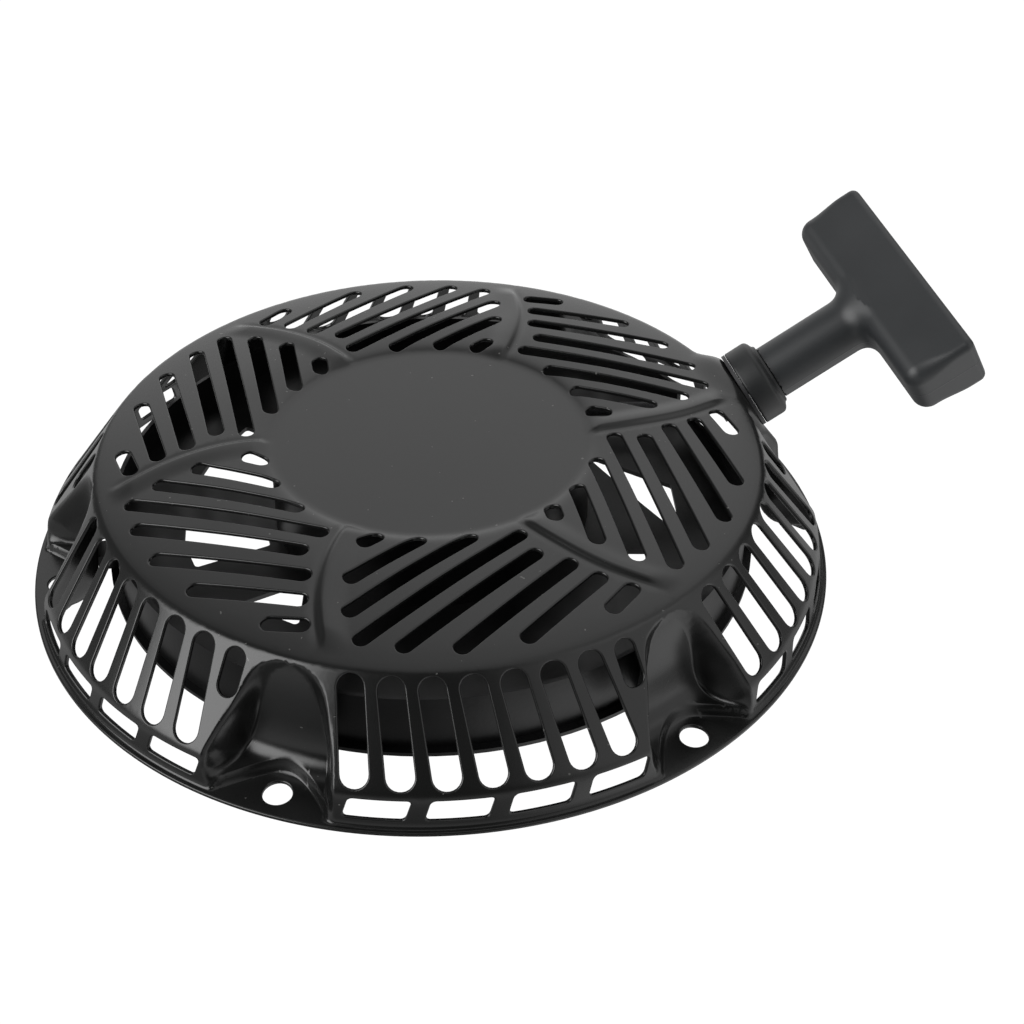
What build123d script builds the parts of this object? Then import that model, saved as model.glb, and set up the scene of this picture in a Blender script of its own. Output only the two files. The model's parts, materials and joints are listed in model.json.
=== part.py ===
from build123d import *
import os
from math import acos, atan2, cos, hypot, pi, radians, sin

# Recoil starter of a small air-cooled engine. All sizes in millimetres.
# Frame: origin at the centre of the mounting plane, +Z away from the engine,
# +X towards the side the rope handle leaves on.

# ---- pressed housing ----
SHEET = 1.5                  # steel thickness of the housing
RIM_R = 125.0                # outer edge of the flange
DISC_R = 47.3                # plain disc in the middle of the top
DISC_Z = 41.5
TOP_OUTLINE = ((53.0, 42.7), (65.0, 42.8), (82.0, 41.2), (98.6, 38.7), (101.8, 37.9))
WALL_TOP = (103.9, 35.6)     # (radius, height) of the upper end of the conical wall
WALL_FOOT = (121.0, 12.4)    # lower end of the conical wall
BAND_R = 123.0               # foot of the steep band above the flange
SECTORS = 6
SECTOR_STEP = 360 / SECTORS

# ---- mounting ears ----
EAR_AZIMUTH = 11.0           # first ear, the rest follow every 60 degrees
HOLE_CIRCLE_R = 116.85
HOLE_R = 4.1
POCKET_FOOT_R = 21.3         # an ear's pocket is a slanting round hollow: radius and distance out
POCKET_FOOT_AT = 128.3
POCKET_TOP_R = 16.0
POCKET_TOP_AT = 119.6
POCKET_TOP_Z = 36.5

# ---- air slots in the top: the (x, y) of both ends of each slot of the front sector ----
TOP_SLOT_WIDTH = 4.8
TOP_SLOTS = (
    ((-18.0, -54.4), (-11.7, -48.8)),
    ((-20.7, -69.6), (0.4, -50.4)),
    ((-20.1, -82.2), (14.9, -49.1)),
    ((-16.5, -92.4), (28.9, -47.9)),
    ((-4.9, -94.9), (33.2, -56.2)),
    ((10.6, -95.1), (42.9, -59.7)),
    ((28.4, -90.9), (51.0, -64.5)),
    ((51.7, -78.9), (59.7, -67.9)),
)
TOP_SLOT_SECTOR = 4          # that sector follows the fifth ear
TOP_SLOT_CUT = 20.0

# ---- air slots in the wall, measured in degrees from the ear before them ----
WALL_SLOTS = 7
WALL_SLOT_FIRST = 9.6
WALL_SLOT_STEP = 5.97
WALL_SLOT_LEAN = 1.6         # the foot of a slot is turned on by this much
WALL_SLOT_WIDTH = 7.4
WALL_SLOT_TOP_Z = 37.0
WALL_SLOT_FOOT_Z = 12.5
SHORT_SLOT_AT = 51.3
SHORT_SLOT_WIDTH = 6.2
SHORT_SLOT_FOOT_Z = 25.8
BOSS_SLOTS = 3               # the rope exit takes the place of the first slots of its sector

# ---- windows in the band under the wall slots ----
WINDOWS = 4
WINDOW_FIRST = 14.1
WINDOW_STEP = 10.5
WINDOW_SIZE = (17.1, 6.6)
WINDOW_Z = 7.1

# ---- rope exit and handle: one axis, tilted up out of the wall ----
PULL_FOOT = Vector(105.6, 45.5, 32.3)   # centre of the handle's collar
PULL_AZIMUTH = 14.0
PULL_RISE = 30.7
GRIP_ROLL = 13.7             # turn of the bar about that axis, from level
BOSS_SEAT = -5.2             # distances along the pull axis from the collar's centre
BOSS_DEPTH = -20.0
BOSS_SEAT_R = 13.4
BOSS_FOOT_R = 18.5
GUIDE_R = 6.0
GUIDE_FLANGE_R = 13.2
GUIDE_BORE_R = 3.3
GUIDE_FLANGE = 1.2
GUIDE_TAIL = -15.0           # inner end of the eyelet
GUIDE_MOUTH = (5.6, -12.0)   # flare at that end: radius, and how far up it reaches
GUIDE_CLIP = (2.6, 1.2)      # width and thickness of its spring ring
ROPE_JOIN = -6.5             # the inner and the outer rope meet here
COLLAR_R = 13.3
COLLAR_HALF = 3.8
COLLAR_BORE_R = 6.4
COLLAR_CHAMFER = (2.8, 2.0)  # across and along the axis
STEM_R = 9.2
STEM_LENGTH = 38.7
BAR = (23.8, 79.8, 21.6)     # along the pull axis, along the grip, across the grip
BAR_END_R = 3.6              # rounding of the bar's two ends
BAR_FILLET = 3.2
STEM_FLARE = (0.6, 3.0)      # across and along the axis, where the stem meets the bar
ROPE_BORE_R = 3.0
KNOT_POCKET_R = 7.2
KNOT_POCKET_DEPTH = 15.0
KNOT_WASHER = 1.5
HANDLE_KNOT_R = 4.6
PLUG_THICK = 2.4
PLUG_SINK = 0.2

# ---- inner frame: drum, carrier plate and skirt ----
DRUM_R = 49.0
DRUM_WALL = 1.3
DRUM_FOOT_Z = 15.5
DRUM_TOP_GAP = 0.5
ROPE_WINDOW = (30.0, 20.0, 9.0)
ROPE_WINDOW_X = 30.0
PLATE_Z = 14.0
PLATE_SHEET = 1.5
PLATE_SEAT = 2.2             # the plate reaches this far under the drum's wall
PLATE_CORNER = 1.2           # corner radius of the plate's openings
PLATE_OPENINGS = (
    ((-51.5, 7.9), (-75.8, 13.6), (-73.0, 24.0), (-64.0, 43.0), (-43.0, 29.0)),
    ((-51.3, -12.0), (-76.5, -9.0), (-75.3, -20.0), (-70.2, -31.6), (-48.8, -20.6)),
    ((-55.0, -47.9), (-45.0, -42.2), (-38.5, -38.8), (-36.5, -40.0), (-36.5, -58.0)),
    ((48.5, 28.1), (76.2, 11.1), (77.0, -1.0), (75.9, -12.7), (66.0, 1.5)),
    ((60.0, -22.5), (68.5, -22.5), (66.0, -31.0), (57.0, -28.0)),
    ((16.0, 51.0), (27.0, 71.5), (12.0, 75.5), (4.0, 53.0)),
)
SKIRT_R = 98.5
SKIRT_WALL = 1.3
SKIRT_FOOT_Z = 6.0
SKIRT_TOP_Z = 25.0
TAB_REACH_R = 104.4          # the skirt's tabs end against the backs of the ears' pockets
TAB_Z = 10.5
TAB_SIZE = (8.0, 5.0)        # width and height
SKIRT_BEAD = 2.5             # bead round the skirt's lower edge
ROPE_GAP = (20.0, 34.0, 16.0)
ROPE_GAP_AZIMUTH = 23.5

# ---- centre stack ----
POST_R = 9.0
POST_FOOT_Z = 11.0
THREAD_R = 2.6
THREAD_SPARE = 3.0
POST_HEAD = (18.0, 0.6)      # radius and thickness of the weld foot under the disc
SPRING_CUP_R = 46.5
SPRING_CUP_SHEET = 1.1
SPRING_CUP_FOOT_Z = 28.2
ANCHOR_R = 1.3
ANCHOR_TOP_Z = 38.3
SPRING_INNER_R = 15.3
SPRING_STRIP = 0.7
SPRING_GROWTH = 2.22         # radius gained by each half turn of the recoil spring
SPRING_HALF_TURNS = 12
SPRING_Z = (29.0, 37.6)

# ---- rope and pulley ----
ROPE_R = 2.2
ROPE_BEND_R = 9.0            # bend of the rope where it enters the eyelet
GROOVE_Z = 22.4
GROOVE_HALF = 2.8
GROOVE_CORE_R = 26.0
PULLEY_R = 46.3
PULLEY_TOP_Z = 27.4
PULLEY_FOOT_Z = 17.6
HUB_R = 15.2
HUB_TOP_Z = 38.0
HUB_FOOT_Z = 11.1
BUSH_R = 11.0
LIGHTENING_HOLE = (3.0, 20.5)      # radius and distance from the centre
LIGHTENING_FIRST = 30.0
PULLEY_KNOT_AZIMUTH = 200.0
PULLEY_KNOT_AT = 31.0
PULLEY_KNOT_R = 2.6
PULLEY_KNOT_RECESS = (11.0, 8.0, 4.4)
RUNNING_GAP = 0.05
ROPE_COIL_R = 39.2           # the full layers, under the layer that feeds the exit
ROPE_LINE_R = 41.7           # centre line of that last layer

# ---- pawls and their guide ----
PAWL_PIN_AT = 24.0
PAWL_PIN_R = 2.4
PAWL_PIN_Z = (10.1, 19.4)
PAWL_SPRING_R = 3.3
PAWL_SPRING_WIRE_R = 0.3
PAWL_SPRING_Z = 10.6
PAWL_SPRING_PITCH = 0.75
PAWL_SPRING_HEIGHT = 1.1
PAWL_Z = (12.2, 17.2)
PAWL_EYE_R = 5.0
PAWL_TIP = (2.4, -19.0)      # tip seen from the pin, for the pawl on +X
PAWL_TIP_R = 2.2
PAWL_PEG = (1.0, -10.0)
PAWL_PEG_R = 1.5
PAWL_SWING = 30.0
GUIDE_LAG = 25.0             # turn of the guide plate that swings the pawls right out
GUIDE_PLATE_R = 35.5
GUIDE_PLATE_Z = (7.7, 9.7)
GUIDE_SLOT_R = 1.9
GUIDE_SLOT_STEPS = 5
GUIDE_WINDOW = (7.0, 22.0, 80.0)   # radius, distance and azimuth of a lightening hole
WASHER_Z = (9.8, 11.0)
WASHER_R = 13.5
SLEEVE_R = 6.8
FRICTION_SPRING_R = 8.3
FRICTION_WIRE_R = 0.5
FRICTION_PITCH = 1.2
FRICTION_FOOT_Z = 5.9
BOLT_R = 3.0
BOLT_WASHER_R = 11.0
FIT = 0.1                    # play between parts that only have to pass each other
BOLT_HEAD_FLATS = 10.0
BOLT_HEAD_Z = (0.6, 4.2)
BOLT_FLANGE_Z = (4.2, 5.3)
BOLT_TIP_Z = 30.0

PULL_AXIS = Vector(
    cos(radians(PULL_RISE)) * cos(radians(PULL_AZIMUTH)),
    cos(radians(PULL_RISE)) * sin(radians(PULL_AZIMUTH)),
    sin(radians(PULL_RISE)),
)


def save(shape, node):
    """Write one sub-part as parts/NODE.step."""
    export_step(shape, f"parts/{node}.step")


def round_bar(radius, low, high, at=(0, 0)):
    """Cylinder along Z between two heights."""
    return Pos(at[0], at[1], low) * Cylinder(
        radius, high - low, align=(Align.CENTER, Align.CENTER, Align.MIN))


def tube(outer, inner, low, high, at=(0, 0)):
    """Hollow cylinder along Z between two heights."""
    return round_bar(outer, low, high, at) - round_bar(inner, low - 1, high + 1, at)


def pull_plane(along):
    """Plane across the pull axis, its X along the grip."""
    sideways = Vector(-sin(radians(PULL_AZIMUTH)), cos(radians(PULL_AZIMUTH)), 0)
    upwards = PULL_AXIS.cross(sideways)
    grip_way = sideways * cos(radians(GRIP_ROLL)) + upwards * sin(radians(GRIP_ROLL))
    return Plane(origin=PULL_FOOT + PULL_AXIS * along, x_dir=grip_way, z_dir=PULL_AXIS)


def pull_bar(radius, start, end):
    """Cylinder along the pull axis."""
    return pull_plane(start) * Cylinder(
        radius, end - start, align=(Align.CENTER, Align.CENTER, Align.MIN))


def pull_tube(outer, inner, start, end):
    """Hollow cylinder along the pull axis."""
    return pull_bar(outer, start, end) - pull_bar(inner, start - 1, end + 1)


def pull_cone(start_r, end_r, start, end):
    """Cone along the pull axis."""
    return pull_plane(start) * Cone(
        start_r, end_r, end - start, align=(Align.CENTER, Align.CENTER, Align.MIN))


# ---------------------------------------------------------------- housing shell

def dome(gap):
    """The pressing without its flange, filled in, and drawn in by gap all over."""
    outline = Polyline(
        (0, 0),
        (BAND_R - gap, 0),
        (BAND_R - gap, SHEET),
        (WALL_FOOT[0] - gap, WALL_FOOT[1]),
        (WALL_TOP[0] - gap, WALL_TOP[1] - gap * 0.3),
        *[(radius - gap * 0.3, height - gap) for radius, height in reversed(TOP_OUTLINE)],
        (DISC_R, DISC_Z - gap),
        (0, DISC_Z - gap),
        close=True,
    )
    return revolve(Plane.XZ * make_face(outline), Axis.Z)


def ear_pocket(gap):
    """Bell-shaped hollow that an ear sits in, grown by gap."""
    low = -SHEET if gap else SHEET
    foot = Plane.XY.offset(low) * Pos(POCKET_FOOT_AT, 0) * Circle(POCKET_FOOT_R + gap)
    top = Plane.XY.offset(POCKET_TOP_Z + gap) * Pos(POCKET_TOP_AT, 0) * Circle(POCKET_TOP_R + gap)
    return loft([foot, top], ruled=True)


def rope_boss(gap):
    """Swelling of the wall that carries the rope exit, drawn in by gap."""
    return pull_cone(BOSS_FOOT_R - gap, BOSS_SEAT_R - gap, BOSS_DEPTH, BOSS_SEAT - gap)


def wall_slot(azimuth, width, foot_z, lean):
    """Rounded slot through the conical wall, from its top height down to foot_z."""
    slope = (WALL_FOOT[0] - WALL_TOP[0]) / (WALL_TOP[1] - WALL_FOOT[1])
    ends = []
    for height, turn in ((WALL_SLOT_TOP_Z, azimuth), (foot_z, azimuth + lean)):
        radius = WALL_TOP[0] + (WALL_TOP[1] - height) * slope
        ends.append(Vector(radius * cos(radians(turn)), radius * sin(radians(turn)), height))
    along = ends[1] - ends[0]
    middle = (ends[0] + ends[1]) * 0.5
    outward = Vector(middle.X, middle.Y, 0).normalized() + Vector(0, 0, slope)
    outward = outward - along.normalized() * outward.dot(along.normalized())
    plane = Plane(origin=middle, x_dir=along, z_dir=outward)
    return extrude(plane * SlotOverall(along.length, width), 6, both=True)


def band_window(azimuth):
    """Rounded window through the steep band above the flange."""
    plane = Plane(
        origin=(BAND_R * cos(radians(azimuth)), BAND_R * sin(radians(azimuth)), WINDOW_Z),
        x_dir=(-sin(radians(azimuth)), cos(radians(azimuth)), 0),
        z_dir=(cos(radians(azimuth)), sin(radians(azimuth)), 0),
    )
    return extrude(plane * RectangleRounded(*WINDOW_SIZE, 1.2), 6, both=True)


def top_slot(start, end):
    """Straight slot through the slotted ring, between its two ends."""
    along = Vector(*end) - Vector(*start)
    middle = (Vector(*start) + Vector(*end)) * 0.5
    turn = Rot(0, 0, atan2(along.Y, along.X) * 180 / pi)
    outline = Pos(middle.X, middle.Y) * turn * SlotOverall(along.length, TOP_SLOT_WIDTH)
    return extrude(Plane.XY.offset(DISC_Z - TOP_SLOT_CUT / 2) * outline, TOP_SLOT_CUT)


def sector_openings(first_slot):
    """All the slots and windows of the sector that follows the ear at azimuth 0."""
    tools = []
    for count in range(first_slot, WALL_SLOTS):
        azimuth = WALL_SLOT_FIRST + count * WALL_SLOT_STEP
        tools.append(wall_slot(azimuth, WALL_SLOT_WIDTH, WALL_SLOT_FOOT_Z, WALL_SLOT_LEAN))
    tools.append(wall_slot(SHORT_SLOT_AT, SHORT_SLOT_WIDTH, SHORT_SLOT_FOOT_Z, 0))
    for count in range(WINDOWS):
        tools.append(band_window(WINDOW_FIRST + count * WINDOW_STEP))
    front_ear = EAR_AZIMUTH + TOP_SLOT_SECTOR * SECTOR_STEP
    for start, end in TOP_SLOTS:
        tools.append(Rot(0, 0, -front_ear) * top_slot(start, end))
    return tools


def housing_shell():
    """Pressed cover with its flange, six ears, air slots and rope exit."""
    outer = dome(0)
    inner = dome(SHEET)
    for count in range(SECTORS):
        turn = Rot(0, 0, EAR_AZIMUTH + count * SECTOR_STEP)
        outer -= turn * ear_pocket(0)
        inner -= turn * ear_pocket(SHEET)
    outer += rope_boss(0)
    inner += rope_boss(SHEET)
    shell = outer - inner + tube(RIM_R, BAND_R - SHEET, 0, SHEET)
    for count in range(SECTORS):
        turn = Rot(0, 0, EAR_AZIMUTH + count * SECTOR_STEP)
        for tool in sector_openings(BOSS_SLOTS if count == 0 else 0):
            shell -= turn * tool
        shell -= turn * round_bar(HOLE_R, -1, 5, (HOLE_CIRCLE_R, 0))
    return shell - pull_bar(GUIDE_R + RUNNING_GAP, BOSS_DEPTH, BOSS_SEAT + 1)


# ---------------------------------------------------------------- inner frame

def drum_housing():
    """Deep drum under the disc, with a window where the rope leaves."""
    drum = tube(DRUM_R, DRUM_R - DRUM_WALL, DRUM_FOOT_Z, DISC_Z - SHEET - DRUM_TOP_GAP)
    rope_window = Pos(ROPE_WINDOW_X, ROPE_LINE_R, GROOVE_Z) * Box(*ROPE_WINDOW)
    return drum - rope_window


def arm_frame():
    """Flat plate that carries the drum inside the skirt; its openings leave broad arms between them."""
    plate = tube(SKIRT_R - SKIRT_WALL, DRUM_R - PLATE_SEAT, PLATE_Z, PLATE_Z + PLATE_SHEET)
    for corners in PLATE_OPENINGS:
        opening = fillet(Polygon(*corners, align=None).vertices(), PLATE_CORNER)
        plate -= extrude(Plane.XY.offset(PLATE_Z) * opening, 2 * PLATE_SHEET, both=True)
    return plate


def skirt_ring():
    """Ring under the slotted wall, with a tab to each ear, open where the rope passes."""
    ring = tube(SKIRT_R, SKIRT_R - SKIRT_WALL, SKIRT_FOOT_Z, SKIRT_TOP_Z)
    ring += tube(SKIRT_R + SKIRT_BEAD, SKIRT_R - SKIRT_WALL, SKIRT_FOOT_Z, SKIRT_FOOT_Z + SKIRT_WALL)
    tab = Box(TAB_REACH_R - SKIRT_R + 1, *TAB_SIZE)
    for count in range(SECTORS):
        turn = Rot(0, 0, EAR_AZIMUTH + count * SECTOR_STEP)
        ring += turn * Pos((SKIRT_R + TAB_REACH_R - 1) / 2, 0, TAB_Z) * tab
    return ring - Rot(0, 0, ROPE_GAP_AZIMUTH) * Pos(SKIRT_R, 0, SKIRT_TOP_Z) * Box(*ROPE_GAP)


# ---------------------------------------------------------------- centre stack

def spring_cup():
    """Shallow cup that keeps the recoil spring, closed side up."""
    top = DISC_Z - SHEET - POST_HEAD[1]
    cup = tube(SPRING_CUP_R, SPRING_CUP_R - SPRING_CUP_SHEET, SPRING_CUP_FOOT_Z, top)
    return cup + tube(SPRING_CUP_R, POST_R, top - SPRING_CUP_SHEET, top)


def centre_post():
    """Post welded under the disc, threaded from below, with a wide foot at the weld."""
    post = round_bar(POST_R, POST_FOOT_Z, DISC_Z - SHEET)
    post += round_bar(POST_HEAD[0], DISC_Z - SHEET - POST_HEAD[1], DISC_Z - SHEET)
    return post - round_bar(THREAD_R, POST_FOOT_Z - 1, BOLT_TIP_Z + THREAD_SPARE)


def recoil_spring():
    """Flat strip wound outwards in half circles, each a little larger than the last."""
    inner_edge = []
    outer_edge = []
    for turn in range(SPRING_HALF_TURNS):
        radius = SPRING_INNER_R + SPRING_GROWTH * turn
        centre = (0 if turn % 2 == 0 else SPRING_GROWTH, 0)
        start = 0 if turn % 2 == 0 else 180
        inner_edge.append(CenterArc(centre, radius, start, 180))
        outer_edge.append(CenterArc(centre, radius + SPRING_STRIP, start, 180))
    ends = [
        Line(inner_edge[0] @ 0, outer_edge[0] @ 0),
        Line(inner_edge[-1] @ 1, outer_edge[-1] @ 1),
    ]
    strip = make_face(Wire(inner_edge + outer_edge + ends))
    return extrude(Plane.XY.offset(SPRING_Z[0]) * strip, SPRING_Z[1] - SPRING_Z[0])


def spring_anchor():
    """Pin in the cup that the spring's outer end hooks on."""
    at = (SPRING_CUP_R - SPRING_CUP_SHEET - RUNNING_GAP - ANCHOR_R, 0)
    return round_bar(ANCHOR_R, SPRING_Z[0], ANCHOR_TOP_Z, at)


def pulley():
    """Rope pulley: two flanges, a hub up into the spring and a hub down to the washer."""
    body = round_bar(PULLEY_R, PULLEY_FOOT_Z, PULLEY_TOP_Z)
    body -= tube(PULLEY_R + 1, GROOVE_CORE_R, GROOVE_Z - GROOVE_HALF, GROOVE_Z + GROOVE_HALF)
    body += round_bar(HUB_R, HUB_FOOT_Z, HUB_TOP_Z)
    hole_r, hole_at = LIGHTENING_HOLE
    for count in range(SECTORS):
        turn = Rot(0, 0, LIGHTENING_FIRST + count * SECTOR_STEP)
        body -= turn * round_bar(hole_r, 0, HUB_TOP_Z, (hole_at, 0))
    recess = Pos(PULLEY_KNOT_AT, 0, PULLEY_FOOT_Z) * Box(*PULLEY_KNOT_RECESS)
    body -= Rot(0, 0, PULLEY_KNOT_AZIMUTH) * recess
    for side in (0, 180):
        body -= Rot(0, 0, side) * round_bar(PAWL_PIN_R, 0, PAWL_PIN_Z[1], (PAWL_PIN_AT, 0))
    return body - round_bar(BUSH_R, 0, HUB_TOP_Z + 1)


def pulley_bush():
    """Plain bearing pressed into the pulley."""
    return tube(BUSH_R, POST_R + RUNNING_GAP, HUB_FOOT_Z, HUB_TOP_Z)


def rope_coil():
    """Outer shape of the rope's full layers on the pulley."""
    return tube(ROPE_COIL_R, GROOVE_CORE_R + FIT, GROOVE_Z - ROPE_R, GROOVE_Z + ROPE_R)


def pulley_knot():
    """Knot at the rope's inner end, in a recess under the pulley."""
    at = Pos(PULLEY_KNOT_AT, 0, PULLEY_FOOT_Z + PULLEY_KNOT_RECESS[2] / 2 - FIT - PULLEY_KNOT_R)
    return Rot(0, 0, PULLEY_KNOT_AZIMUTH) * at * Sphere(PULLEY_KNOT_R)


def pawl_pin(side):
    """Pivot pin of one pawl, fixed in the pulley."""
    return Rot(0, 0, side) * round_bar(PAWL_PIN_R, *PAWL_PIN_Z, (PAWL_PIN_AT, 0))


def pawl(side):
    """Pawl with its eye, its tip and the peg that runs in the guide plate."""
    tip = Pos(PAWL_PIN_AT + PAWL_TIP[0], PAWL_TIP[1])
    edges = (Pos(PAWL_PIN_AT, 0) * Circle(PAWL_EYE_R)).edges() + (tip * Circle(PAWL_TIP_R)).edges()
    body = extrude(Plane.XY.offset(PAWL_Z[0]) * make_hull(edges), PAWL_Z[1] - PAWL_Z[0])
    body -= round_bar(PAWL_PIN_R + RUNNING_GAP, 0, PAWL_Z[1] + 1, (PAWL_PIN_AT, 0))
    peg_at = (PAWL_PIN_AT + PAWL_PEG[0], PAWL_PEG[1])
    body += round_bar(PAWL_PEG_R, GUIDE_PLATE_Z[0] + FIT, PAWL_Z[0] + 0.5, peg_at)
    return Rot(0, 0, side) * body


def pawl_spring(side):
    """Small coil round the pawl's pin that draws the pawl back in."""
    coil = Helix(
        pitch=PAWL_SPRING_PITCH, height=PAWL_SPRING_HEIGHT, radius=PAWL_SPRING_R,
        center=(PAWL_PIN_AT, 0, PAWL_SPRING_Z))
    wire = sweep(Plane(origin=coil @ 0, z_dir=coil % 0) * Circle(PAWL_SPRING_WIRE_R), path=coil)
    return Rot(0, 0, side) * wire


def peg_in_guide(lag):
    """Where a pawl's peg stands in the guide plate once the plate lags by that angle."""
    swing = radians(lag * PAWL_SWING / GUIDE_LAG)
    x = PAWL_PIN_AT + PAWL_PEG[0] * cos(swing) - PAWL_PEG[1] * sin(swing)
    y = PAWL_PEG[0] * sin(swing) + PAWL_PEG[1] * cos(swing)
    back = radians(-lag)
    return (x * cos(back) - y * sin(back), x * sin(back) + y * cos(back))


def guide_plate():
    """Plate that friction holds back, with a slanted slot for each pawl's peg."""
    plate = tube(GUIDE_PLATE_R, SLEEVE_R + FIT, *GUIDE_PLATE_Z)
    edges = []
    for count in range(GUIDE_SLOT_STEPS + 1):
        at = peg_in_guide(count * GUIDE_LAG / GUIDE_SLOT_STEPS)
        edges += (Pos(*at) * Circle(GUIDE_SLOT_R)).edges()
    slot = extrude(make_hull(edges), GUIDE_PLATE_Z[1] + 1)
    window_r, window_at, window_azimuth = GUIDE_WINDOW
    for side in (0, 180):
        plate -= Rot(0, 0, side) * slot
        plate -= Rot(0, 0, side + window_azimuth) * round_bar(
            window_r, 0, GUIDE_PLATE_Z[1] + 1, (window_at, 0))
    return plate


def thrust_washer():
    """Washer that carries the pulley on the end of the post."""
    return tube(WASHER_R, SLEEVE_R + FIT, *WASHER_Z)


def friction_sleeve():
    """Spacer round the bolt that the guide plate turns on."""
    return tube(SLEEVE_R, BOLT_R + FIT, BOLT_FLANGE_Z[1], POST_FOOT_Z)


def friction_spring():
    """Coil that presses the guide plate against the thrust washer."""
    coil = Helix(
        pitch=FRICTION_PITCH, height=FRICTION_PITCH, radius=FRICTION_SPRING_R,
        center=(0, 0, FRICTION_FOOT_Z))
    return sweep(Plane(origin=coil @ 0, z_dir=coil % 0) * Circle(FRICTION_WIRE_R), path=coil)


def bolt_washer():
    """Wide washer under the bolt's head, which backs the friction spring."""
    return tube(BOLT_WASHER_R, BOLT_R + FIT, *BOLT_FLANGE_Z)


def centre_bolt():
    """Hexagon bolt up into the post."""
    head = extrude(
        Plane.XY.offset(BOLT_HEAD_Z[0]) * RegularPolygon(BOLT_HEAD_FLATS / 2, 6, major_radius=False),
        BOLT_HEAD_Z[1] - BOLT_HEAD_Z[0])
    thread = round_bar(THREAD_R, POST_FOOT_Z, BOLT_TIP_Z)
    return head + round_bar(BOLT_R, BOLT_HEAD_Z[1], POST_FOOT_Z) + thread


# ---------------------------------------------------------------- rope and handle

def rope_guide():
    """Flanged eyelet that the rope runs through."""
    guide = pull_bar(GUIDE_R, GUIDE_TAIL, BOSS_SEAT)
    guide += pull_bar(GUIDE_FLANGE_R, BOSS_SEAT, BOSS_SEAT + GUIDE_FLANGE)
    guide -= pull_bar(GUIDE_BORE_R, GUIDE_TAIL - 1, 0)
    return guide - pull_cone(GUIDE_MOUTH[0], GUIDE_BORE_R, GUIDE_TAIL, GUIDE_MOUTH[1])


def guide_clip():
    """Spring ring that holds the eyelet from inside the boss."""
    width, thickness = GUIDE_CLIP
    top = BOSS_SEAT - SHEET - FIT
    return pull_tube(GUIDE_R + width, GUIDE_R + RUNNING_GAP, top - thickness, top)


def rope_inner():
    """Rope from the pulley's rim to the middle of the guide."""
    corner = PULL_FOOT + PULL_AXIS * GUIDE_TAIL
    reach = hypot(corner.X, corner.Y)
    leave = atan2(corner.Y, corner.X) + acos(ROPE_LINE_R / reach)
    start = Vector(ROPE_LINE_R * cos(leave), ROPE_LINE_R * sin(leave), GROOVE_Z)
    path = FilletPolyline(start, corner, PULL_FOOT + PULL_AXIS * ROPE_JOIN, radius=ROPE_BEND_R)
    section = Plane(origin=path @ 0, z_dir=path % 0) * Circle(ROPE_R)
    return sweep(section, path=path)


def rope_outer():
    """Rope from the guide up through the stem to the knot."""
    return pull_bar(ROPE_R, ROPE_JOIN, STEM_LENGTH + BAR[0] - KNOT_POCKET_DEPTH)


def grip_collar():
    """Rubber buffer on the end of the stem, seated on the guide."""
    across, along = COLLAR_CHAMFER
    ring = pull_bar(COLLAR_R, -COLLAR_HALF, COLLAR_HALF)
    ring += pull_cone(COLLAR_R, COLLAR_R - across, COLLAR_HALF, COLLAR_HALF + along)
    return ring - pull_bar(COLLAR_BORE_R, -COLLAR_HALF - 1, COLLAR_HALF + along + 1)


def grip():
    """T-shaped handle: stem and bar in one moulding, with the knot's pocket in the bar."""
    bar = extrude(RectangleRounded(BAR[1], BAR[2], BAR_END_R), BAR[0])
    bar = fillet(bar.faces().filter_by(Axis.Z).edges(), BAR_FILLET)
    shoulder = COLLAR_HALF + COLLAR_CHAMFER[1]
    stem = pull_bar(STEM_R, shoulder, STEM_LENGTH + BAR_FILLET)
    stem += pull_bar(COLLAR_BORE_R, FIT - COLLAR_HALF, shoulder)
    stem += pull_cone(STEM_R, STEM_R + STEM_FLARE[0], STEM_LENGTH - STEM_FLARE[1], STEM_LENGTH + 1)
    body = pull_plane(STEM_LENGTH) * bar + stem
    pocket_foot = STEM_LENGTH + BAR[0] - KNOT_POCKET_DEPTH
    body -= pull_bar(KNOT_POCKET_R, pocket_foot, STEM_LENGTH + BAR[0] + 1)
    return body - pull_bar(ROPE_BORE_R, -10, pocket_foot + 1)


def knot_washer():
    """Steel washer that the knot pulls against."""
    foot = STEM_LENGTH + BAR[0] - KNOT_POCKET_DEPTH
    return pull_tube(KNOT_POCKET_R - 2 * FIT, ROPE_R + 3 * FIT, foot, foot + KNOT_WASHER)


def handle_knot():
    """Knot at the rope's outer end."""
    seat = STEM_LENGTH + BAR[0] - KNOT_POCKET_DEPTH + KNOT_WASHER + FIT
    return pull_plane(seat + HANDLE_KNOT_R) * Sphere(HANDLE_KNOT_R)


def handle_plug():
    """Push-in cover of the knot's pocket."""
    top = STEM_LENGTH + BAR[0]
    return pull_bar(KNOT_POCKET_R, top - PLUG_THICK, top - PLUG_SINK)


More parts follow.
